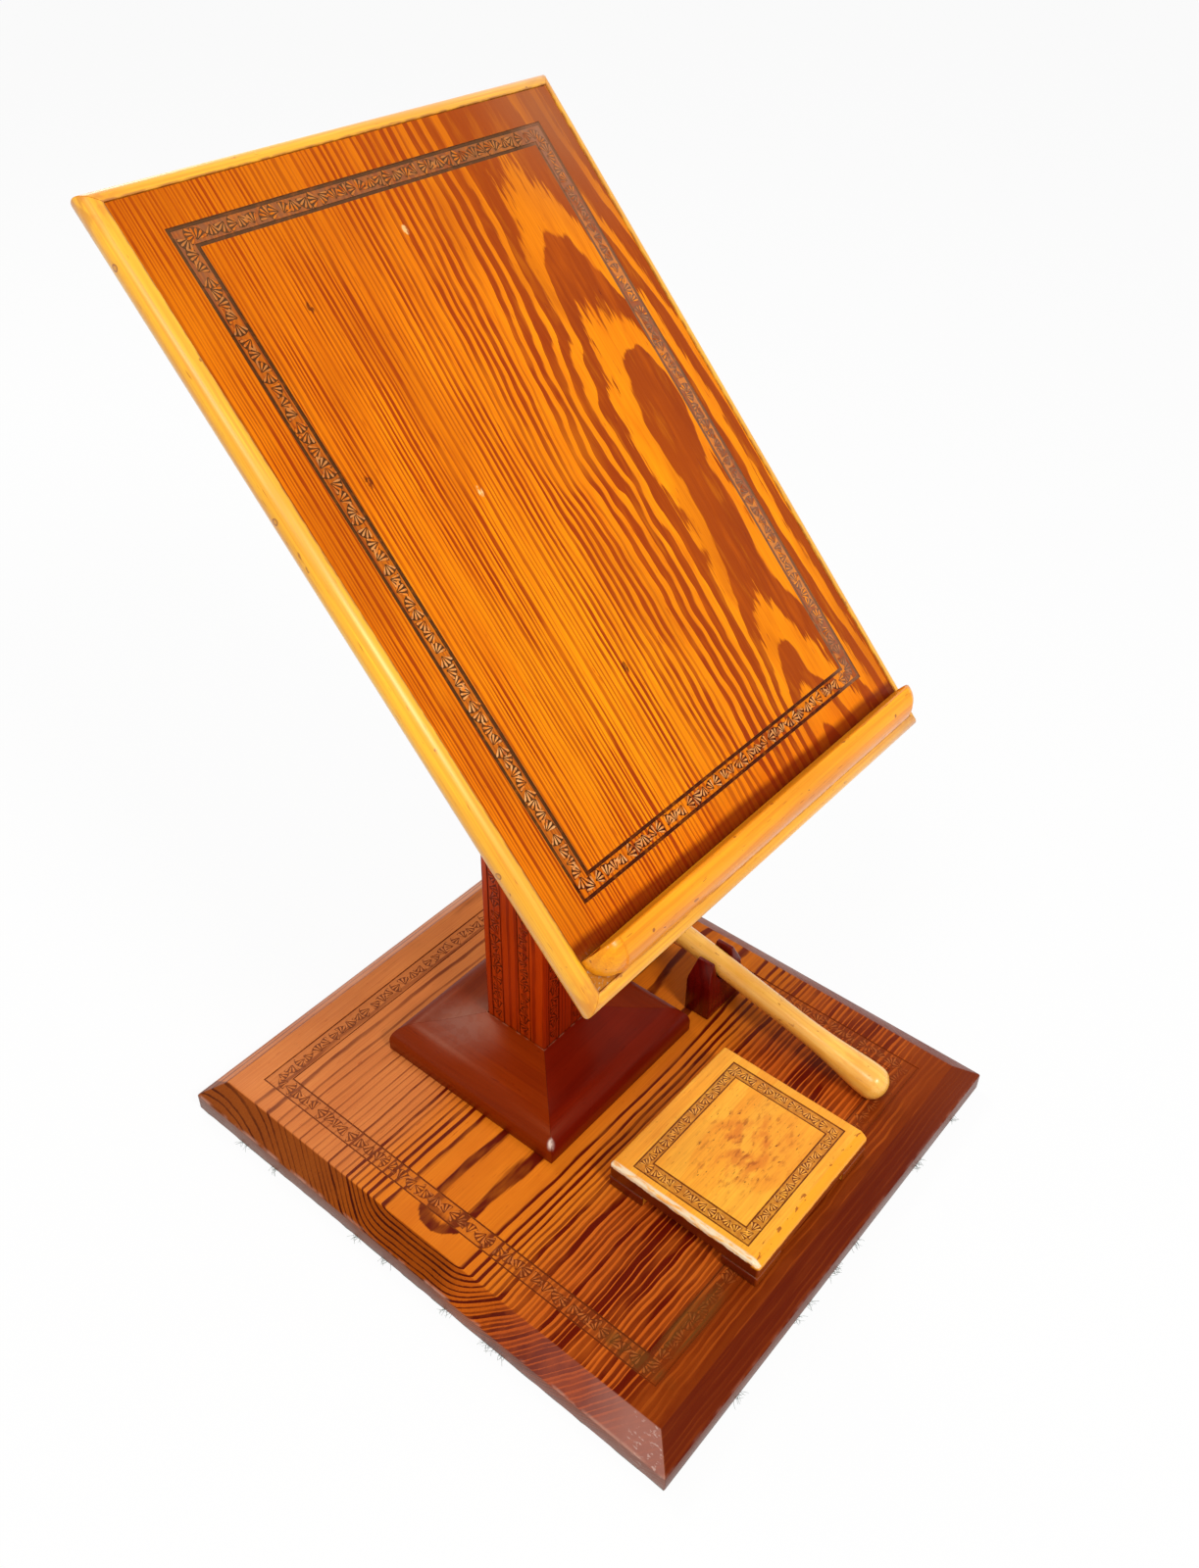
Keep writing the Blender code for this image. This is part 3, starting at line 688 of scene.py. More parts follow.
def punch_leaves(piece, fan, face, runs, pitch=LEAF_PITCH, size=1.0):
    """Copy the leaf along runs of (start, end) on a face, each turned, and join the copies to the piece."""
    copies = []
    step = 0
    for start, end in runs:
        start = Vector((*start, 0.0))
        end = Vector((*end, 0.0))
        heading = math.atan2(end.y - start.y, end.x - start.x)
        count = max(1, round((end - start).length / pitch))
        for leaf in range(count):
            middle = start.lerp(end, (leaf + 0.5 + random.uniform(-0.18, 0.18)) / count)
            flip = -1 if (step // len(LEAF_TURNS)) % 2 else 1
            turn = heading + flip * math.radians(LEAF_TURNS[step % len(LEAF_TURNS)] + random.uniform(-12, 12))
            grown = size * random.uniform(0.92, 1.06)
            back = Vector((math.cos(turn), math.sin(turn), 0.0)) * LOBE_TIP * 0.55 * grown
            copy = fan.copy()
            copy.data = fan.data.copy()
            copy.hide_render = False
            bpy.context.scene.collection.objects.link(copy)
            scale = Matrix.Diagonal((grown, grown, random.uniform(0.85, 1.0), 1.0))
            place = moved(middle.x - back.x, middle.y - back.y, 0.0)
            copy.matrix_world = face @ place @ Matrix.Rotation(turn, 4, "Z") @ scale
            copies.append(copy)
            step += 1
    select(piece, *copies)
    bpy.ops.object.join()


def border_frame(outer, inner, shift):
    """Rule, cutting lines and middle runs of a rectangular border whose middle is shifted along Y."""

    def inside(point):
        across_x = abs(point.x)
        across_y = abs(point.y - shift)
        return across_x < outer[0] and across_y < outer[1] and (across_x > inner[0] or across_y > inner[1])

    cuts = []
    for reach in (outer, inner):
        cuts += [((side * reach[0], 0.0), (1.0, 0.0)) for side in (-1, 1)]
        cuts += [((0.0, shift + side * reach[1]), (0.0, 1.0)) for side in (-1, 1)]
    mid_x = (outer[0] + inner[0]) / 2
    mid_y = (outer[1] + inner[1]) / 2
    low_y = shift - mid_y
    high_y = shift + mid_y
    corners = [(-mid_x, low_y), (mid_x, low_y), (mid_x, high_y), (-mid_x, high_y)]
    runs = [(corners[side], corners[(side + 1) % 4]) for side in range(4)]
    return inside, cuts, runs


def ellipse(centre, radii, start, end, steps):
    """Points on an ellipse from the start angle to the end angle, in degrees."""
    angles = [math.radians(start + (end - start) * step / steps) for step in range(steps + 1)]
    return [(centre[0] + radii[0] * math.cos(angle), centre[1] + radii[1] * math.sin(angle))
            for angle in angles]


def tool_border(piece, fan, face, border, scribe, seed, pitch=LEAF_PITCH, size=1.0, shift=0.0):
    """Scribe a border on a face and fill it with leaves, turned and spaced by a seeded draw."""
    inside, cuts, runs = border_frame(*border, shift)
    tool_face(piece, face, inside, cuts, scribe)
    random.seed(seed)
    punch_leaves(piece, fan, face, runs, pitch, size)


base_low, base_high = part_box("base_board")
base_grain = moved(0.0, 0.0, base_high.z) @ rotated("Z", -90)
base_rings = growth(BASE_RING, (-0.0005, BASE_PITH), 0.0008, wave=0.0007, ragged=0.35)
base_pine, shader, local, wood = varnished_wood("base_pine", base_grain, base_rings, BASE_GOLD, BASE_LATE)
here = object_place(shader.id_data)
axes = split(here)
drift = texture(here, (20, 45, 45), 3.0)
along_y = (drift - 0.5) * 0.03 + axes[1]
# The heart lies above the board, where the rings were wide. They close in arcs on the left end's chamfer.
heart = abs(axes[1])
lift = ramp(heart, *BASE_HEART, 1.97, 0.0) + bulges(local, BASE_FIGURE)
outer = calculate("MAXIMUM", heart - 0.034, 0.0)
outer *= outer
lift -= outer * ramp(axes[1], -0.01, 0.01, 1350, 2300)
feed(wood, "Figure", lift)
# Toward the back the early wood turns paler and pinker and the rings fainter: partly the wood, partly painted
# sheen.
early = blend(ramp(along_y, 0.03, 0.075), BASE_GOLD, BASE_PALE_SHEEN)
feed(wood, "Early Colour", blend(ramp(along_y, -0.035, -0.075), early, BASE_BROWN))
feed(wood, "Contrast", ramp(along_y, 0.05, 0.085, 1.0, 0.68))
feed(wood, "Uneven Strength", ramp(heart, 0.03, 0.05, 0.0, 0.55))
feed(wood, "Uneven Width", ramp(heart, 0.045, 0.07, 0.0, 0.8))
feed(wood, "Wave", ramp(axes[1], -0.03, -0.06, 0.0007, 0.0023))
share = ramp(axes[1], -0.03, -0.06, 0.3, 0.65)
share += ramp(axes[1], 0.03, 0.042, 0.0, 0.08)
share += ramp(axes[1], 0.058, 0.075, 0.0, -0.2)
feed(wood, "Late Share", share)
stain_tooling(shader, local, *BASE_TOOLING)
blur = (drift - 0.5) * 0.01 + axes[1]
streaks = texture(here, (14, 260, 260), 3.0, 0.6)
strip = ramp(blur, -0.126, -0.138) * ramp(streaks, 0.3, 0.62, 0.95, 0.6)
stain(shader, strip, (0.2, 0.027, 0.002))
past_left = axes[0] + (base_high.x - BASE_CHAMFER[0])
past_front = axes[1] + (base_high.y - BASE_CHAMFER[0])
mitre = ramp(past_left - past_front, 0.0002, -0.0002)
left_end = ramp(past_left, 0.0002, -0.0006) * mitre
# Painted sheen on the left chamfer: a rosy cast toward the front, the chamfer darkened least there, and a
# grey cast near the front corner.
rosy_sheen = left_end * ramp(along_y, -0.05, -0.1, 0.0, 0.42)
stain(shader, rosy_sheen, (0.44, 0.15, 0.105))
shade = blend(ramp(along_y, -0.045, -0.015), (0.76, 0.6, 0.58), (0.42, 0.3, 0.14))
stain(shader, left_end, shade, "MULTIPLY")
grey_sheen = left_end * ramp(along_y, -0.105, -0.142, 0.0, 0.55)
stain(shader, grey_sheen, (0.4, 0.19, 0.15))
scuffs = ramp(texture(here, (700, 260, 700), 3.0, 0.6), 0.58, 0.66, 0.0, 0.6)
scuffs *= left_end * ramp(along_y, -0.13, -0.155)
stain(shader, scuffs, (0.62, 0.43, 0.37))
front_side = ramp(past_front, 0.0003, -0.0005) - mitre
dark_side = calculate("MAXIMUM", front_side, ramp(axes[0], 0.1376, 0.1384))
stain(shader, dark_side * ramp(streaks, 0.3, 0.65, 0.97, 0.7), (0.105, 0.006, 0.001))
# Painted shade darkens the right end of the top.
shaded_right_end = ramp(axes[0], 0.07, 0.125) * ramp(streaks, 0.3, 0.65, 0.45, 0.15)
stain(shader, shaded_right_end, (0.26, 0.04, 0.008))
# The upright edges are greyer, and the arris over them carries a painted highlight, strongest along the left
# end
upright = axes[2] - (base_high.z - BASE_CHAMFER[1])
stain(shader, ramp(upright, -0.0004, -0.0014, 0.0, 0.55), (0.17, 0.075, 0.05))
arris = ramp(upright, -0.0008, -0.0001) * ramp(upright, 0.0001, 0.001, 1.0, 0.0)
arris *= ramp(texture(here, (90, 90, 90), 3.0), 0.42, 0.62)
rubbed_and_glint = mitre * 0.45 + 0.2
stain(shader, arris * rubbed_and_glint, (0.5, 0.26, 0.19))
# Old wax and dust in the border beside the block
for middle, size, share in (((-0.086, -0.1335, 0.0), (0.036, 0.009, 0.1), 0.95),
                            ((-0.118, -0.122, 0.0), (0.0075, 0.03, 0.1), 0.7)):
    dirt = calculate("MINIMUM", cloud(here, middle, size, 2.6), 1.0)
    dirt *= ramp(streaks, 0.34, 0.6, share * 0.85, 0.15)
    stain(shader, dirt, (0.115, 0.048, 0.009))
base = start_cube("base_board_top", base_low, base_high - Vector((0, 0, BASE_CHAMFER[1])))
pick(lambda middle, facing: facing.z > 0.9)
shrink_x = 1 - 2 * BASE_CHAMFER[0] / (base_high.x - base_low.x)
shrink_y = 1 - 2 * BASE_CHAMFER[0] / (base_high.y - base_low.y)
draw_out((0, 0, BASE_CHAMFER[1]), (shrink_x, shrink_y, 1.0), (0, 0, base_high.z))
close_mesh()
round_arrises(base, ARRIS, 3, 20)
base_face = moved(0.0, 0.0, base_high.z)
leaf = leaf_fan("leaf_punch")
tool_border(base, leaf, base_face, BASE_BORDER, scribe=0.00055, seed=11)
settle(base)
dress(base, base_pine, "base_board")


# Plinth mouldings
# Four lengths of moulding mitred round the foot of the post, stained dark and varnished to a gloss.
PLINTH_EARLY = (0.24, 0.027, 0.001)
PLINTH_LATE = (0.165, 0.012, 0.001)
PLINTH_NOSE = (0.015, 0.0142)
PLINTH_EDGE = 0.0062
PLINTH_HOLLOW = 0.0008
MITRE_GAP = 0.00004


def start_moulding(name, outline, length):
    """A moulding's section in Y and Z, drawn out along X. It is left in edit mode."""
    piece = start_outline(name, [(-length / 2, *point) for point in outline])
    extrude((length, 0, 0))
    bpy.ops.mesh.select_all(action="SELECT")
    bpy.ops.mesh.normals_make_consistent(inside=False)
    return piece


def saw(place, normal):
    """In edit mode, cut off what lies past a plane and close the cut."""
    bpy.ops.mesh.select_all(action="SELECT")
    bpy.ops.mesh.bisect(plane_co=place, plane_no=normal, clear_outer=True, use_fill=True)


post_low, post_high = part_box("post")
front_low, front_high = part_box("plinth_moulding_front")
post_half = (post_high.x - post_low.x) / 2
post_y = (post_low.y + post_high.y) / 2
plinth_foot = front_low.z
plinth_height = front_high.z - front_low.z
inner = post_y - front_high.y
reach = front_high.y - front_low.y
outline = [(0.0, 0.0), (reach, 0.0)]
outline += ellipse((reach - PLINTH_NOSE[0], PLINTH_EDGE), PLINTH_NOSE, 0, 80, 16)
start_out, start_up = outline[-1]
for step in range(1, 11):
    part = step / 10
    rise = start_up + (plinth_height - start_up) * part
    outline.append((start_out * (1 - part), rise - PLINTH_HOLLOW * math.sin(math.pi * part)))
# Each side's stain is scaled by its own factors, which paint in light and shade: the left lightest, the front
# darkest.
for side, turn, depth in (("back", 0, (0.8, 0.7)), ("left", 90, (0.95, 0.85)), ("front", 180, (0.66, 0.24)),
                          ("right", 270, (0.7, 0.5))):
    piece = start_moulding(f"plinth_{side}", outline, 2 * (inner + reach))
    for end in (-1, 1):
        saw((end * (inner - MITRE_GAP), 0, 0), (end, -1, 0))
    close_mesh()
    round_arrises(piece, 0.00015, 2, 40)
    place = moved(0.0, post_y, plinth_foot) @ rotated("Z", turn) @ moved(0.0, inner, 0.0)
    settle(piece, place, 30)
    grain = place @ rotated("Z", -90)
    rings = growth(0.006, (0.03, -0.05 - 0.01 * turn / 90), 0.0015, contrast=0.35)
    early = (PLINTH_EARLY[0] * depth[0], PLINTH_EARLY[1] * depth[1], PLINTH_EARLY[2])
    late = (PLINTH_LATE[0] * depth[0], PLINTH_LATE[1] * depth[1], PLINTH_LATE[2])
    stained, shader, local, _ = varnished_wood(f"plinth_stained_{side}", grain, rings, early, late,
                                               coat=0.05, specular=0.12, grain=0.05, relief=0.2)
    axes = split(local)
    broken = ramp(texture(local, (200, 200, 200), 3.0), 0.42, 0.6)
    glue = ramp(axes[0], -0.0009, -0.0003, 0.0, 0.32) * broken
    stain(shader, glue, (0.42, 0.2, 0.11))
    here = object_place(shader.id_data)
    # Painted sheen: a greyish cast over the back-left of the plinth, where it reflects light from above.
    plinth_sheen = cloud(here, (-inner - reach * 0.35, post_y + inner + reach * 0.2, plinth_foot + plinth_height),
                 (0.026, 0.034, 0.05), 1.2)
    stain(shader, plinth_sheen * ramp(broken, 0.0, 1.0, 0.4, 0.55), (0.26, 0.1, 0.07))
    # Painted highlight: a pale spot on the nose at the front-left mitre, laid on like worn bare wood.
    corner_glint = cloud(here, (-inner - reach + 0.0022, post_y - inner - reach + 0.0022, plinth_foot + 0.0145),
                 (0.003, 0.003, 0.0085), 1.8)
    corner_glint *= ramp(broken, 0.1, 0.9, 0.35, 0.9)
    stain(shader, corner_glint, (0.8, 0.62, 0.52))
    dress(piece, stained, f"plinth_moulding_{side}")


# Post
# Planed two inch square softwood, its top sawn to the board's slope, with two tooled bands down each face.
POST_EARLY = (0.31, 0.019, 0.001)
POST_LATE = (0.135, 0.004, 0.001)
POST_TOOLING = ((0.075, 0.004, 0.001), (0.2, 0.013, 0.001), 0.3, (0.27, 0.019, 0.001))
POST_LIT_SIDE = (1.55, 2.1, 1.0)
BOARD_TILT = math.radians(46.6)
PANEL_LENGTH = 0.334
PANEL_THICKNESS = 0.0125
POST_BANDS = ((0.004, 0.013), (0.024, 0.033))
POST_CUT = -0.0281

panel_low, panel_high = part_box("book_panel")
slope = Matrix.Rotation(BOARD_TILT, 4, "X")
board_place = Matrix.Translation((panel_low + panel_high) / 2) @ slope
board_place = board_place @ moved(0, 0, PANEL_THICKNESS / 2)
post_grain = moved(0.0, post_y, 0.0) @ rotated("X", 90)
post_rings = growth(0.0024, (0.075, 0.05), 0.0016, late_share=0.36, contrast=0.75)
post_pine, shader, local, _ = varnished_wood("post_pine", post_grain, post_rings, POST_EARLY, POST_LATE)
stain_tooling(shader, local, *POST_TOOLING)
# Painted light: the left face is made brighter and warmer, as if lit from the left
axes = split(local)
lit_left_face = ramp(axes[0], -post_half + 0.0006, -post_half + 0.0002)
stain(shader, lit_left_face, POST_LIT_SIDE, "MULTIPLY")
post = start_cube("square_post", post_low, post_high)
cut_place = board_place @ Vector((0.0, 0.0, POST_CUT))
cut_normal = slope @ Vector((0.0, 0.0, 1.0))
saw(cut_place, cut_normal)
close_mesh()
round_arrises(post, 0.0007, 3, 30)
random.seed(21)
for quarter in range(4):
    turn = rotated("Z", 90 * quarter)
    upright = Matrix(((0, 0, -1), (-1, 0, 0), (0, 1, 0))).to_4x4()
    face = moved(0.0, post_y, 0.0) @ turn @ moved(-post_half, 0.0, 0.0) @ upright
    high = min((cut_place.z + (place_y - cut_place.y) * math.tan(BOARD_TILT))
               for place_y in [(face @ Vector((aside, 0.0, 0.0))).y for aside in (-post_half, post_half)])
    for near, far in POST_BANDS:
        low_x = near - post_half
        high_x = far - post_half
        cuts = [((low_x, 0.0), (1.0, 0.0)), ((high_x, 0.0), (1.0, 0.0))]
        tool_face(post, face, lambda point: low_x < point.x < high_x, cuts, scribe=0.0004)
        middle = (low_x + high_x) / 2
        run = ((middle, plinth_foot + plinth_height + 0.004), (middle, high - 0.004))
        punch_leaves(post, leaf, face, [run])
settle(post)
dress(post, post_pine, "post")


# Cleat and screws
# A bevelled plate glued and screwed to the panel's back, which the post's sawn top is screwed to.
CLEAT_EARLY = (0.62, 0.2, 0.03)
CLEAT_LATE = (0.32, 0.06, 0.006)
CLEAT_BEVEL = 0.003
CLEAT_SIZE = (0.1, 0.13, 0.015)

cleat_rings = growth(0.003, (0.01, 0.06), 0.003, late_share=0.4)
cleat_pine = varnished_wood("cleat_pine", board_place, cleat_rings, CLEAT_EARLY, CLEAT_LATE, gloss=0.4)[0]
cleat_top = -PANEL_THICKNESS - 0.0003
low = Vector((-CLEAT_SIZE[0] / 2, -CLEAT_SIZE[1] / 2, cleat_top - CLEAT_SIZE[2]))
cleat = start_cube("cleat_plate", low + Vector((0, 0, CLEAT_BEVEL)), (-low.x, -low.y, cleat_top))
pick(lambda middle, facing: facing.z < -0.9)
shrink_x = 1 - 2 * CLEAT_BEVEL / CLEAT_SIZE[0]
shrink_y = 1 - 2 * CLEAT_BEVEL / CLEAT_SIZE[1]
draw_out((0, 0, -CLEAT_BEVEL), (shrink_x, shrink_y, 1.0), (0, 0, low.z))
close_mesh()
round_arrises(cleat, 0.0006, 3, 20)
settle(cleat, board_place)
dress(cleat, cleat_pine, "board_cleat")


# Book panel
# One board of resinous pine under amber varnish. The tree's heart lay far behind it, under its right side, so
# the rings run straight at the left and break out in flames at the right. A tooled border runs round it.
PANEL_EARLY = (0.9, 0.225, 0.002)
PANEL_GOLD = (1.0, 0.295, 0.003)
PANEL_LATE = (0.33, 0.046, 0.001)
PANEL_THIN_LATE = (0.33, 0.034, 0.001)
PANEL_SHADE = (0.4, 0.062, 0.001)
PANEL_STREAK = (0.64, 0.12, 0.001)
PANEL_BORDER = ((0.1013, 0.145), (0.0916, 0.1353))
PANEL_BORDER_SHIFT = 0.0076
PANEL_HEART_LEAN = 0.00618
PANEL_PITH = (0.0775, -0.40026)
PANEL_RING = 0.000728
# Places across and along the board where the rings bulged, their half sizes, and the rings that each adds
PANEL_FIGURE = (
    ((0.1053, -0.0488), (0.0769, 0.188), 1.01), ((0.0399, 0.2044), (0.0285, 0.1292), -1.11),
    ((0.0932, 0.1238), (0.0593, 0.1108), 0.66), ((0.0863, 0.0281), (0.0223, 0.0483), -0.49),
    ((0.0598, -0.1543), (0.028, 0.1144), -1.18), ((0.1317, -0.0048), (0.0558, 0.207), -1.36),
    ((0.0115, 0.0161), (0.0542, 0.0703), -0.8), ((0.0087, 0.0301), (0.13, 0.1666), -0.86),
    ((0.0775, -0.012), (0.023, 0.09), -0.3), ((0.067, -0.123), (0.016, 0.022), 0.24))
# Marks on the panel: place, radius and colour
PALE_MARK = (0.95, 0.62, 0.25)
DARK_MARK = (0.09, 0.012, 0.002)
PANEL_MARKS = (((-0.0014, 0.1258), 0.0016, PALE_MARK), ((-0.039, 0.0198), 0.0017, PALE_MARK),
               ((-0.0635, 0.1093), 0.0018, DARK_MARK), ((-0.0215, -0.0707), 0.002, DARK_MARK),
               ((-0.083, 0.0418), 0.0022, DARK_MARK))

panel_width = panel_high.x - panel_low.x
panel_rings = growth(PANEL_RING, PANEL_PITH, 0.0)
panel_grain = board_place @ Matrix.Rotation(-PANEL_HEART_LEAN, 4, "X")
panel_pine, shader, local, wood = varnished_wood("panel_pine", panel_grain, panel_rings, PANEL_EARLY,
                                                 PANEL_LATE)
feed(wood, "Figure", bulges(local, PANEL_FIGURE))
axes = split(local)
wave = cloud(local, (0.02, 0.0, 0.0), (0.06, 0.22, 0.1), 0.001) + 0.0004
feed(wood, "Wave", wave)
share = cloud(local, (0.0775, -0.012, 0.0), (0.03, 0.11, 0.1), 0.14)
share = ramp(axes[0], 0.0, 0.055, 0.4, 0.47) + share
feed(wood, "Late Share", share)
feed(wood, "Uneven Width", ramp(axes[0], 0.02, -0.01, 0.0, 0.9))
feed(wood, "Uneven Strength", ramp(axes[0], 0.02, 0.05, 0.62, 0.15))
feed(wood, "Ragged", ramp(axes[0], 0.03, 0.06, 0.4, 0.95))
feed(wood, "Contrast", ramp(axes[0], 0.01, 0.06, 1.05, 1.5))
thick = ramp(axes[0], 0.005, 0.06)
feed(wood, "Late Colour", blend(thick, PANEL_THIN_LATE, PANEL_LATE))
golden = calculate("MAXIMUM", cloud(local, (-0.03, -0.075, 0.0), (0.09, 0.12, 0.1), 1.0), thick * 0.6)
feed(wood, "Early Colour", blend(golden, PANEL_EARLY, PANEL_GOLD))
streaks = texture(local, (150, 17, 150), 4.0, 0.6)
stain(shader, ramp(streaks, 0.5, 0.72, 0.0, 0.45), PANEL_STREAK)
stain(shader, ramp(streaks, 0.46, 0.28, 0.0, 0.3), PANEL_GOLD)
drift = texture(local, (22, 9, 22), 3.0) - 0.5
stain(shader, ramp(drift, 0.0, 0.16, 0.0, 0.4), PANEL_SHADE)
stain(shader, ramp(drift, -0.02, -0.16, 0.0, 0.3) * (1.0 - thick), PANEL_GOLD)
for axis, start, end, share in ((0, -0.045, -0.115, 0.24), (1, 0.05, 0.16, 0.42), (1, -0.128, -0.16, 0.3),
                                (0, 0.088, 0.112, 0.2)):
    spread = drift * 0.06 + axes[axis]
    stain(shader, ramp(spread, start, end, 0.0, share), PANEL_SHADE)
ragged = ramp(texture(local, (1100, 500, 1100), 2.0), 0.38, 0.6)
for middle, size, colour in PANEL_MARKS:
    mark = cloud(local, (*middle, 0.0), (size, 1.8 * size, 0.01), 2.4) * ragged
    stain(shader, calculate("MINIMUM", mark, 0.75), colour)
# Painted sheen over the far right corner, and dirt down the edge by the left moulding
corner_sheen = cloud(local, (0.115, 0.155, 0.0), (0.075, 0.08, 0.1), 1.0) * ramp(drift, -0.2, 0.2, 0.25, 0.55)
stain(shader, corner_sheen, (0.36, 0.14, 0.06))
edge = drift * 0.016 + axes[0]
edge = ramp(edge, -0.1195, -0.1235) * ramp(axes[1], 0.02, 0.12, 0.1, 0.8)
stain(shader, edge, (0.15, 0.038, 0.012))
# Painted shade with old wax and dirt in the corner along the ledge, and dust in the corner at its left end
ledge_shade_and_wax = drift * 0.004 + axes[1]
face_side = ramp(axes[2], -0.006, -0.003)
ledge_shade_and_wax = ramp(ledge_shade_and_wax, -0.1452, -0.1492, 0.0, 0.86) * face_side
stain(shader, ledge_shade_and_wax, (0.13, 0.009, 0.001))
dust = cloud(local, (-0.1125, -0.1615, 0.0), (0.014, 0.012, 0.01), 2.0)
dust = calculate("MINIMUM", dust, 1.0) * ramp(drift, -0.2, 0.15, 0.4, 0.9)
crumbs = ramp(texture(local, (900, 900, 900), 2.0), 0.54, 0.68)
stain(shader, dust, blend(crumbs, (0.6, 0.23, 0.02), (0.6, 0.44, 0.28)))
upper = ramp(axes[1], 0.108, 0.132)
dusty = ramp(axes[1], -0.12, -0.131, 1.0, 0.0)
dark = blend(dusty, (0.05, 0.005, 0.001), (0.075, 0.025, 0.007))
dark = blend(upper, dark, (0.1, 0.042, 0.017))
wash = blend(dusty, (0.43, 0.08, 0.005), (0.3, 0.078, 0.014))
wash = blend(upper, wash, (0.25, 0.092, 0.038))
# Painted sheen washes the right border grey, and painted highlights make the leaf tops paler toward the
# bottom.
hazy_sheen = ramp(axes[0], 0.08, 0.094, 0.0, 0.92)
wash = blend(hazy_sheen, wash, (0.33, 0.15, 0.085))
dark = blend(hazy_sheen, dark, (0.23, 0.1, 0.052))
wash_share = dusty * 0.3 + (upper * 0.3 + 0.25)
rubbed_and_glint = calculate("MAXIMUM", hazy_sheen, ramp(axes[1], -0.06, 0.11))
rubbed_and_glint = blend(rubbed_and_glint, (0.8, 0.4, 0.14), (0.47, 0.19, 0.055))
rubbed_and_glint = blend(hazy_sheen, rubbed_and_glint, (0.38, 0.17, 0.085))
stain_tooling(shader, local, dark, wash, wash_share, rubbed_and_glint)
panel = start_cube("book_board", (-panel_width / 2, -PANEL_LENGTH / 2, -PANEL_THICKNESS),
                   (panel_width / 2, PANEL_LENGTH / 2, 0.0))
close_mesh()
tool_border(panel, leaf, Matrix.Identity(4), PANEL_BORDER, scribe=0.0013, seed=5, pitch=0.005, size=0.8,
            shift=PANEL_BORDER_SHIFT)
settle(panel, board_place)
dress(panel, panel_pine, "book_panel")


# Edge mouldings
# Half-round beading in a pale wood under honey varnish, mitred round the panel's edge, pinned and glued.
HONEY_EARLY = (0.93, 0.44, 0.018)
HONEY_LATE = (0.84, 0.32, 0.01)
HONEY_WORN = (0.62, 0.2, 0.012)
HONEY_DENT = (0.3, 0.065, 0.008)
BEAD_THICKNESS = 0.0135
BEAD_REACH = 0.0068
BEAD_PROUD = 0.0005
PANEL_GAP = 0.0003

bead_up = BEAD_PROUD - BEAD_THICKNESS / 2
bead = ellipse((0.0, bead_up), (BEAD_REACH, BEAD_THICKNESS / 2), 90, -90, 20)
sizes = {"top": (panel_width, PANEL_LENGTH, 0), "left": (PANEL_LENGTH, panel_width, 90),
         "bottom": (panel_width, PANEL_LENGTH, 180), "right": (PANEL_LENGTH, panel_width, 270)}
for side, (run, away, turn) in sizes.items():
    piece = start_moulding(f"bead_{side}", bead, run + 2 * BEAD_REACH + 0.002)
    for end in (-1, 1):
        saw((end * (run / 2 + PANEL_GAP - MITRE_GAP), 0, 0), (end, -1, 0))
    close_mesh()
    round_arrises(piece, 0.0003, 2, 50)
    place = board_place @ rotated("Z", turn) @ moved(0.0, away / 2 + PANEL_GAP, 0.0)
    settle(piece, place, 30)
    grain = place @ rotated("Z", -90)
    rings = growth(0.0035, (0.05, 0.04), 0.004, late_share=0.5, contrast=0.6)
    honey, shader, local, _ = varnished_wood(f"honey_bead_{side}", grain, rings, HONEY_EARLY, HONEY_LATE,
                                             gloss=0.32, coat=1.0, grain=0.05, relief=0.04, coat_gloss=0.36)
    axes = split(local)
    knocks = texture(local, (330, 150, 330), 2.0)
    stain(shader, ramp(knocks, 0.71, 0.75, 0.0, 0.7), HONEY_DENT)
    worn = ramp(abs(axes[1]), run / 2 - 0.016, run / 2 + 0.004, 0.0, 0.7)
    stain(shader, worn * ramp(knocks, 0.4, 0.6, 0.3, 1.0), HONEY_WORN)
    joint = ramp(axes[0], -0.0011, -0.0002, 0.0, 0.75)
    stain(shader, joint * ramp(knocks, 0.35, 0.6, 0.35, 1.0), HONEY_DENT)
    for node in frame["nodes"]:
        if node.startswith(f"moulding_pin_{side}_"):
            low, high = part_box(node)
            hole = spot(local, grain.inverted() @ ((low + high) / 2), (0.03, 0.0017, 0.0017))
            filler = ramp(hole, 0.0, 0.2) * ramp(hole, 0.3, 0.6, 0.8, 0.25)
            stain(shader, filler, HONEY_DENT)
    dress(piece, honey, f"edge_moulding_{side}")


# Book ledge
# A run of thumb moulding pinned and glued across the panel's foot, round outside and hollow on the inside.
LEDGE_EARLY = (0.93, 0.35, 0.008)
LEDGE_LATE = (0.8, 0.225, 0.004)
LEDGE_SWELL = ((0.005, 0.003), (0.005, 0.0095), (0.01, 0.0165), (0.0175, 0.0165))
LEDGE_LIP = (0.0195, 0.0162)
LEDGE_HOLLOW = ((0.0199, 0.0153), (0.0175, 0.0125), (0.0157, 0.007), (0.0175, 0.0003))
LEDGE_NOSE = 0.01
LEDGE_NOSE_TIP = 0.1
LEDGE_NOSE_STEPS = 8
LEDGE_NOSE_CREASE = 0.94
LEDGE_FOOT = 0.0055
PANEL_START = 0.0042


def bezier(points, steps):
    """Points along a cubic Bezier curve in a plane."""
    first, handle, other, last = [Vector(point) for point in points]
    curve = []
    for step in range(steps + 1):
        part = step / steps
        rest = 1 - part
        curve.append(tuple(first * rest ** 3 + handle * 3 * rest ** 2 * part + other * 3 * rest * part ** 2
                           + last * part ** 3))
    return curve


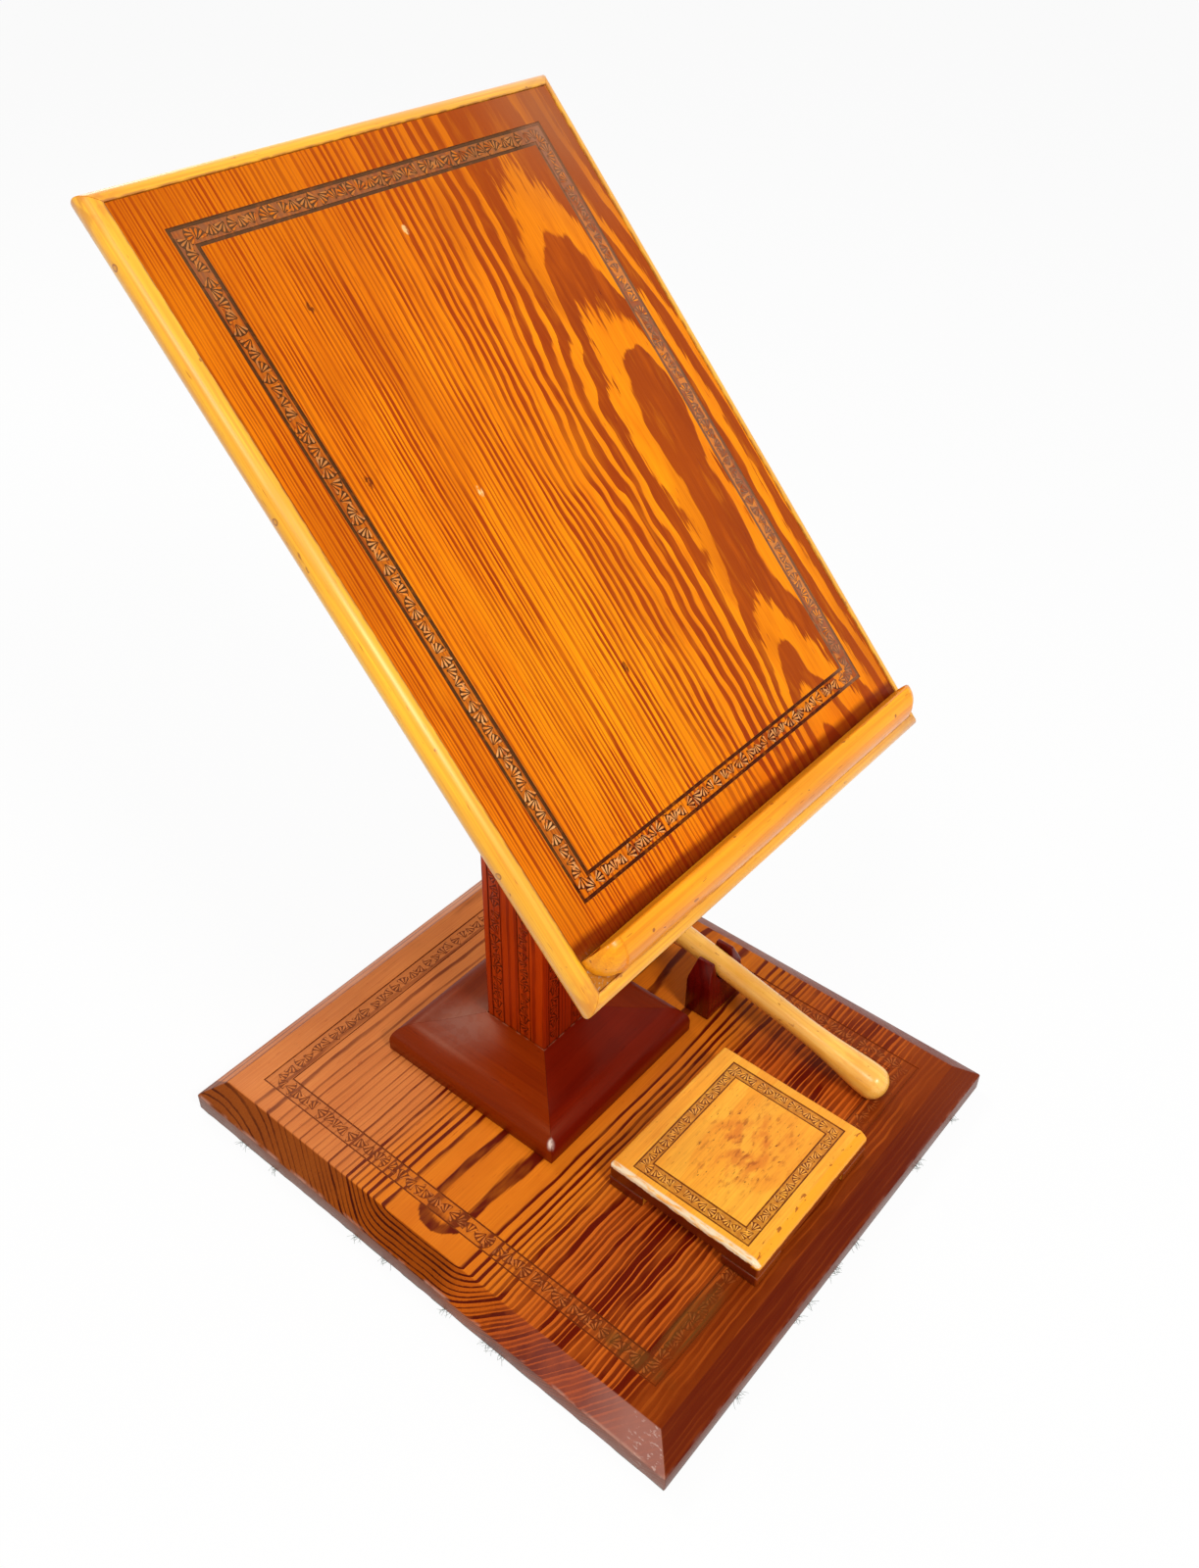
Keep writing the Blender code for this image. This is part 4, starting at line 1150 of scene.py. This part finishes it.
outline = [(LEDGE_FOOT, 0.0003), *bezier(LEDGE_SWELL, 16), LEDGE_LIP, *bezier(LEDGE_HOLLOW, 12)]
ledge = start_moulding("thumb_ledge", outline, panel_width - 2 * LEDGE_NOSE - 0.001)
foot = (0, *LEDGE_HOLLOW[-1])
for end in (-1, 1):
    pick(lambda middle, facing: end * facing.x > 0.9)
    draw_out((end * 0.0004, 0, 0), (1.0, LEDGE_NOSE_CREASE, LEDGE_NOSE_CREASE), foot)
    out, size = 0.0, 1.0
    for step in range(1, LEDGE_NOSE_STEPS + 1):
        angle = math.radians(90 * step / LEDGE_NOSE_STEPS)
        further = LEDGE_NOSE * math.sin(angle)
        smaller = LEDGE_NOSE_TIP + (1 - LEDGE_NOSE_TIP) * math.cos(angle)
        draw_out((end * (further - out), 0, 0), (1.0, smaller / size, smaller / size), foot)
        out, size = further, smaller
close_mesh()
ledge_place = board_place @ moved(0.0, -PANEL_LENGTH / 2 - PANEL_START, 0.0)
settle(ledge, ledge_place, 50)
grain = ledge_place @ rotated("Z", -90)
rings = growth(0.004, (0.06, 0.05), 0.004, late_share=0.5, contrast=0.6)
ledge_honey, shader, local, _ = varnished_wood("ledge_honey", grain, rings, LEDGE_EARLY, LEDGE_LATE,
                                               coat=0.4, grain=0.1, relief=0.12)
knocks = texture(local, (330, 150, 330), 2.0)
stain(shader, ramp(knocks, 0.72, 0.75, 0.0, 0.7), HONEY_DENT)
for node in ("ledge_pin_left", "ledge_pin_right"):
    low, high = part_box(node)
    hole = spot(local, grain.inverted() @ ((low + high) / 2), (0.0011, 0.0011, 0.05))
    stain(shader, ramp(hole, 0.0, 0.5, 0.0, 0.85), HONEY_DENT)
dress(ledge, ledge_honey, "book_ledge")


# Screws and pins
# Countersunk wood screws and headless panel pins of plain steel, dulled by the varnish over them.
dull_steel, shader, here = start_material("dull_steel")
tarnish = texture(here, (900, 900, 900), 3.0)
feed(shader, "Base Color", blend(tarnish, (0.3, 0.27, 0.24), (0.1, 0.07, 0.05)))
feed(shader, "Roughness", ramp(tarnish, 0.2, 0.8, 0.35, 0.6))
feed(shader, "Metallic", 1.0)
for name, node in frame["nodes"].items():
    if "screw" in name or "_pin_" in name:
        node.data.materials.clear()
        node.data.materials.append(dull_steel)


# Gavel rests
# A notched block that the handle leans in, and a hollowed one under the head, both dark red and glossy.
RED_EARLY = (0.14, 0.003, 0.001)
RED_LATE = (0.085, 0.001, 0.001)

for node, name in (("gavel_rest", "handle_rest"), ("gavel_head_rest", "head_rest")):
    source = frame["nodes"][node]
    rest = source.copy()
    rest.data = source.data.copy()
    rest.name = name
    rest.parent = None
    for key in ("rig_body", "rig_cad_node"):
        if key in rest:
            del rest[key]
    bpy.context.scene.collection.objects.link(rest)
    open_mesh(rest)
    bpy.ops.mesh.remove_doubles(threshold=0.00001)
    bpy.ops.mesh.dissolve_limited(angle_limit=math.radians(1))
    close_mesh()
    round_arrises(rest, 0.0006, 3, 30)
    settle(rest, smooth=30)
    low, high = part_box(node)
    grain = Matrix.Translation((low + high) / 2) @ rotated("X", 90)
    rings = growth(0.003, (0.03, 0.03), 0.0015, contrast=0.6)
    red = varnished_wood(f"{name}_red", grain, rings, RED_EARLY, RED_LATE,
                         gloss=0.22, coat=0.25, grain=0.1)[0]
    dress(rest, red, node)


# Gavel
# A turned pale handle, its tenon glued in a turned head with a bead and a hollow at each end.
GAVEL_SLOPE = math.radians(12.3)
PALE_EARLY = (0.98, 0.52, 0.09)
PALE_LATE = (0.93, 0.4, 0.042)
TURNED_SIDES = 48
HEAD_AT = 0.066
HEAD_RADIUS = 0.02
HEAD_LENGTH = 0.066
HANDLE_TIP = 0.1221
BUTT = (0.01, 0.009)
GRIP = ((0.0099, 0.014), (0.0092, 0.026), (0.0069, 0.038), (0.0067, 0.062))
NECK = ((0.0067, 0.01), (0.0065, 0.025), (0.006, 0.034))
COLLAR = ((0.008, 0.0368), (0.0086, 0.0385), (0.0088, 0.0405), (0.0082, 0.0424), (0.0072, 0.0435))
TENON = ((0.0055, 0.0435), (0.0055, 0.05), (0.0, 0.05))
HEAD_END = ((0.0, 0.0), (0.008, 0.0003), (0.013, 0.0008), (0.0165, 0.0022), (0.0175, 0.0034),
            (0.0178, 0.0045), (0.0175, 0.0058), (0.0165, 0.0075), (0.016, 0.009), (0.0172, 0.0098),
            (0.0188, 0.0105), (0.0196, 0.0116), (HEAD_RADIUS, 0.013))


def turn_on_lathe(name, profile):
    """A chain of points in X and Z spun once round Z, its poles and its seam merged."""
    piece = start_outline(name, [(out, 0.0, up) for out, up in profile], "NOTHING")
    bpy.ops.mesh.select_mode(type="EDGE")
    body = bmesh.from_edit_mesh(piece.data)
    body.verts.ensure_lookup_table()
    ends = {0, len(profile) - 1}
    closing = [edge for edge in body.edges if {corner.index for corner in edge.verts} == ends]
    for edge in body.edges:
        edge.select_set(edge in closing)
    bmesh.update_edit_mesh(piece.data)
    bpy.ops.mesh.delete(type="EDGE")
    bpy.ops.mesh.select_all(action="SELECT")
    bpy.ops.mesh.spin(steps=TURNED_SIDES, angle=math.tau, center=(0, 0, 0), axis=(0, 0, 1))
    bpy.ops.mesh.select_all(action="SELECT")
    bpy.ops.mesh.remove_doubles(threshold=0.000005)
    bpy.ops.mesh.normals_make_consistent(inside=False)
    close_mesh()
    return piece


head_low, head_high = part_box("gavel_head")
gavel_place = Matrix.Translation((head_low + head_high) / 2) @ Matrix.Rotation(GAVEL_SLOPE, 4, "X")
butt = ellipse((0.0, BUTT[1] - HANDLE_TIP), BUTT, -90, 0, 14)
grip = bezier([(out, up - HANDLE_TIP) for out, up in GRIP], 16)
profile = [(out, up - HEAD_AT) for out, up in (*butt, *grip, *NECK, *COLLAR, *TENON)]
handle = turn_on_lathe("turned_handle", profile)
settle(handle, gavel_place @ rotated("X", -90), 35)
half_head = HEAD_LENGTH / 2
profile = [(out, up - half_head) for out, up in HEAD_END]
profile += [(out, -up) for out, up in reversed(profile)]
head = turn_on_lathe("turned_head", profile)
settle(head, gavel_place @ rotated("Y", 90), 35)
rings = growth(0.004, (0.04, 0.03), 0.002, late_share=0.5, contrast=0.45)
pale_handle, shader, local, _ = varnished_wood("pale_handle", gavel_place, rings, PALE_EARLY, PALE_LATE,
                                               coat=1.0, grain=0.05, relief=0.05, coat_gloss=0.29)
knocks = texture(local, (420, 200, 420), 2.0)
stain(shader, ramp(knocks, 0.7, 0.74, 0.0, 0.75), (0.42, 0.13, 0.02))
handled = texture(local, (60, 40, 60), 3.0)
stain(shader, ramp(handled, 0.44, 0.7, 0.0, 0.6), (0.84, 0.36, 0.04))
across_head = gavel_place @ rotated("Z", -90)
pale_head = varnished_wood("pale_head", across_head, rings, PALE_EARLY, PALE_LATE, coat=0.5, grain=0.08)[0]
for piece, node, finish in ((handle, "gavel_handle", pale_handle), (head, "gavel_head", pale_head)):
    dress(piece, finish, node, "gavel")


# Sounding block
# A slab of pale burr wood on four corner feet, its edges knocked bare, with a small tooled border on top.
# Shade is painted low on its left and front sides, and a highlight along its left arris.
BLOCK_PALE = (0.99, 0.43, 0.036)
BLOCK_WARM = (0.93, 0.31, 0.018)
BLOCK_SHADE = (0.13, 0.011, 0.001)
BLOCK_BARE_GLINT = (0.95, 0.76, 0.5)
BURR_BROWN = (0.42, 0.09, 0.008)
BLOCK_TOOLING = ((0.16, 0.032, 0.002), (0.44, 0.135, 0.014), 0.75, (0.84, 0.37, 0.07))
BLOCK_BORDER = ((0.0455, 0.0366), (0.0366, 0.0289))
BLOCK_BEVEL = 0.0014
BLOCK_FRONT = (0.0042, 0.003)

slab_low, slab_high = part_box("block_top")
slab_middle = (slab_low + slab_high) / 2
block_face = moved(slab_middle.x, slab_middle.y, slab_high.z)
block_grain = block_face @ rotated("Z", -90)
rings = growth(0.007, (0.02, -0.09), 0.01, wave=0.006, late_share=0.5, contrast=0.5)
block_burr, shader, local, _ = varnished_wood("block_burr", block_grain, rings, BLOCK_PALE, BLOCK_WARM,
                                              coat=0.4, grain=0.1)
axes = split(local)
swirl = texture(local, (300, 110, 300), 4.0, 0.6)
eyes = texture(local, (620, 240, 620), 2.0, 0.5)
heart = spot(local, (0.002, 0.004, 0.0), (0.036, 0.046, 0.05))
blotch = texture(local, (120, 70, 120), 3.0, 0.6)
redness = ramp(blotch, 0.42, 0.62) * ramp(heart, 0.15, 0.8, 0.05, 0.75)
stain(shader, redness, (0.7, 0.17, 0.016))
flecks = ramp(swirl, 0.52, 0.66) * ramp(heart, 0.05, 0.7, 0.08, 0.8)
stain(shader, flecks, BURR_BROWN)
flecks = ramp(eyes, 0.66, 0.74) * ramp(heart, 0.0, 0.5, 0.2, 0.9)
stain(shader, flecks, (0.16, 0.03, 0.004))
stain_tooling(shader, local, *BLOCK_TOOLING)
half_long = (slab_high.x - slab_low.x) / 2
half_wide = (slab_high.y - slab_low.y) / 2
shaded_left_side = ramp(axes[1], -half_long + 0.0016, -half_long + 0.0004)
front_side = ramp(axes[0], half_wide - 0.0016, half_wide - 0.0004)
knocked = texture(local, (240, 160, 240), 3.0)
uneven_z = (knocked - 0.5) * 0.003 + axes[2]
low_down = ramp(uneven_z, -0.0022, -0.003)
# Painted shade: the lower part of the left side is darkened.
stain(shader, shaded_left_side * low_down, BLOCK_SHADE)
# Painted shade: the lower part of the front is darkened.
stain(shader, front_side * ramp(uneven_z, -0.0036, -0.0056, 0.0, 0.97), (0.23, 0.03, 0.001))
front_band = ramp(axes[0], half_wide - 0.0052, half_wide - 0.004) * ramp(uneven_z, -0.005, -0.0035)
stain(shader, front_band * 0.75, (1.0, 0.36, 0.006))
scuffs = ramp(texture(local, (500, 160, 500), 3.0), 0.6, 0.68)
brink = cloud(local, (half_wide - 0.0045, 0.0, 0.0), (0.003, 0.2, 0.2), 1.5) * scuffs
stain(shader, calculate("MINIMUM", brink, 0.85), (0.3, 0.06, 0.006))
# The left top arris is worn bare and carries a painted highlight: a pale, streaky strip along it.
chips = ramp(texture(local, (150, 560, 560), 3.0), 0.66, 0.42, 0.15, 1.0)
bare_x = ramp(axes[1], -half_long + 0.0034, -half_long + 0.0023)
worn = bare_x * ramp(uneven_z, -0.0032, -0.0024)
stain(shader, worn * chips, BLOCK_BARE_GLINT)
slab = start_cube("block_slab", slab_low, slab_high - Vector((0, 0, BLOCK_FRONT[1])))
pick(lambda middle, facing: facing.z > 0.9)
shrink_y = 1 - BLOCK_FRONT[0] / (slab_high.y - slab_low.y)
draw_out((0, 0, BLOCK_FRONT[1]), (1.0, shrink_y, 1.0), (0, slab_high.y, slab_high.z))
close_mesh()
round_arrises(slab, BLOCK_BEVEL, 4, 25)
tool_border(slab, leaf, block_face, BLOCK_BORDER, scribe=0.0006, seed=8, pitch=0.0052, size=0.76)
settle(slab)
dress(slab, block_burr, "block_top", "sounding_block")
for count in range(1, 5):
    low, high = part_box(f"block_foot_{count}")
    foot = start_cube(f"corner_foot_{count}", low, high)
    close_mesh()
    round_arrises(foot, 0.0007, 3, 40)
    settle(foot)
    dress(foot, block_burr, f"block_foot_{count}", "sounding_block")

bpy.data.objects.remove(leaf, do_unlink=True)
scene_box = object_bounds()
sizes = {"cad": [list(corner) for corner in cad_box], "scene": [list(corner) for corner in scene_box]}
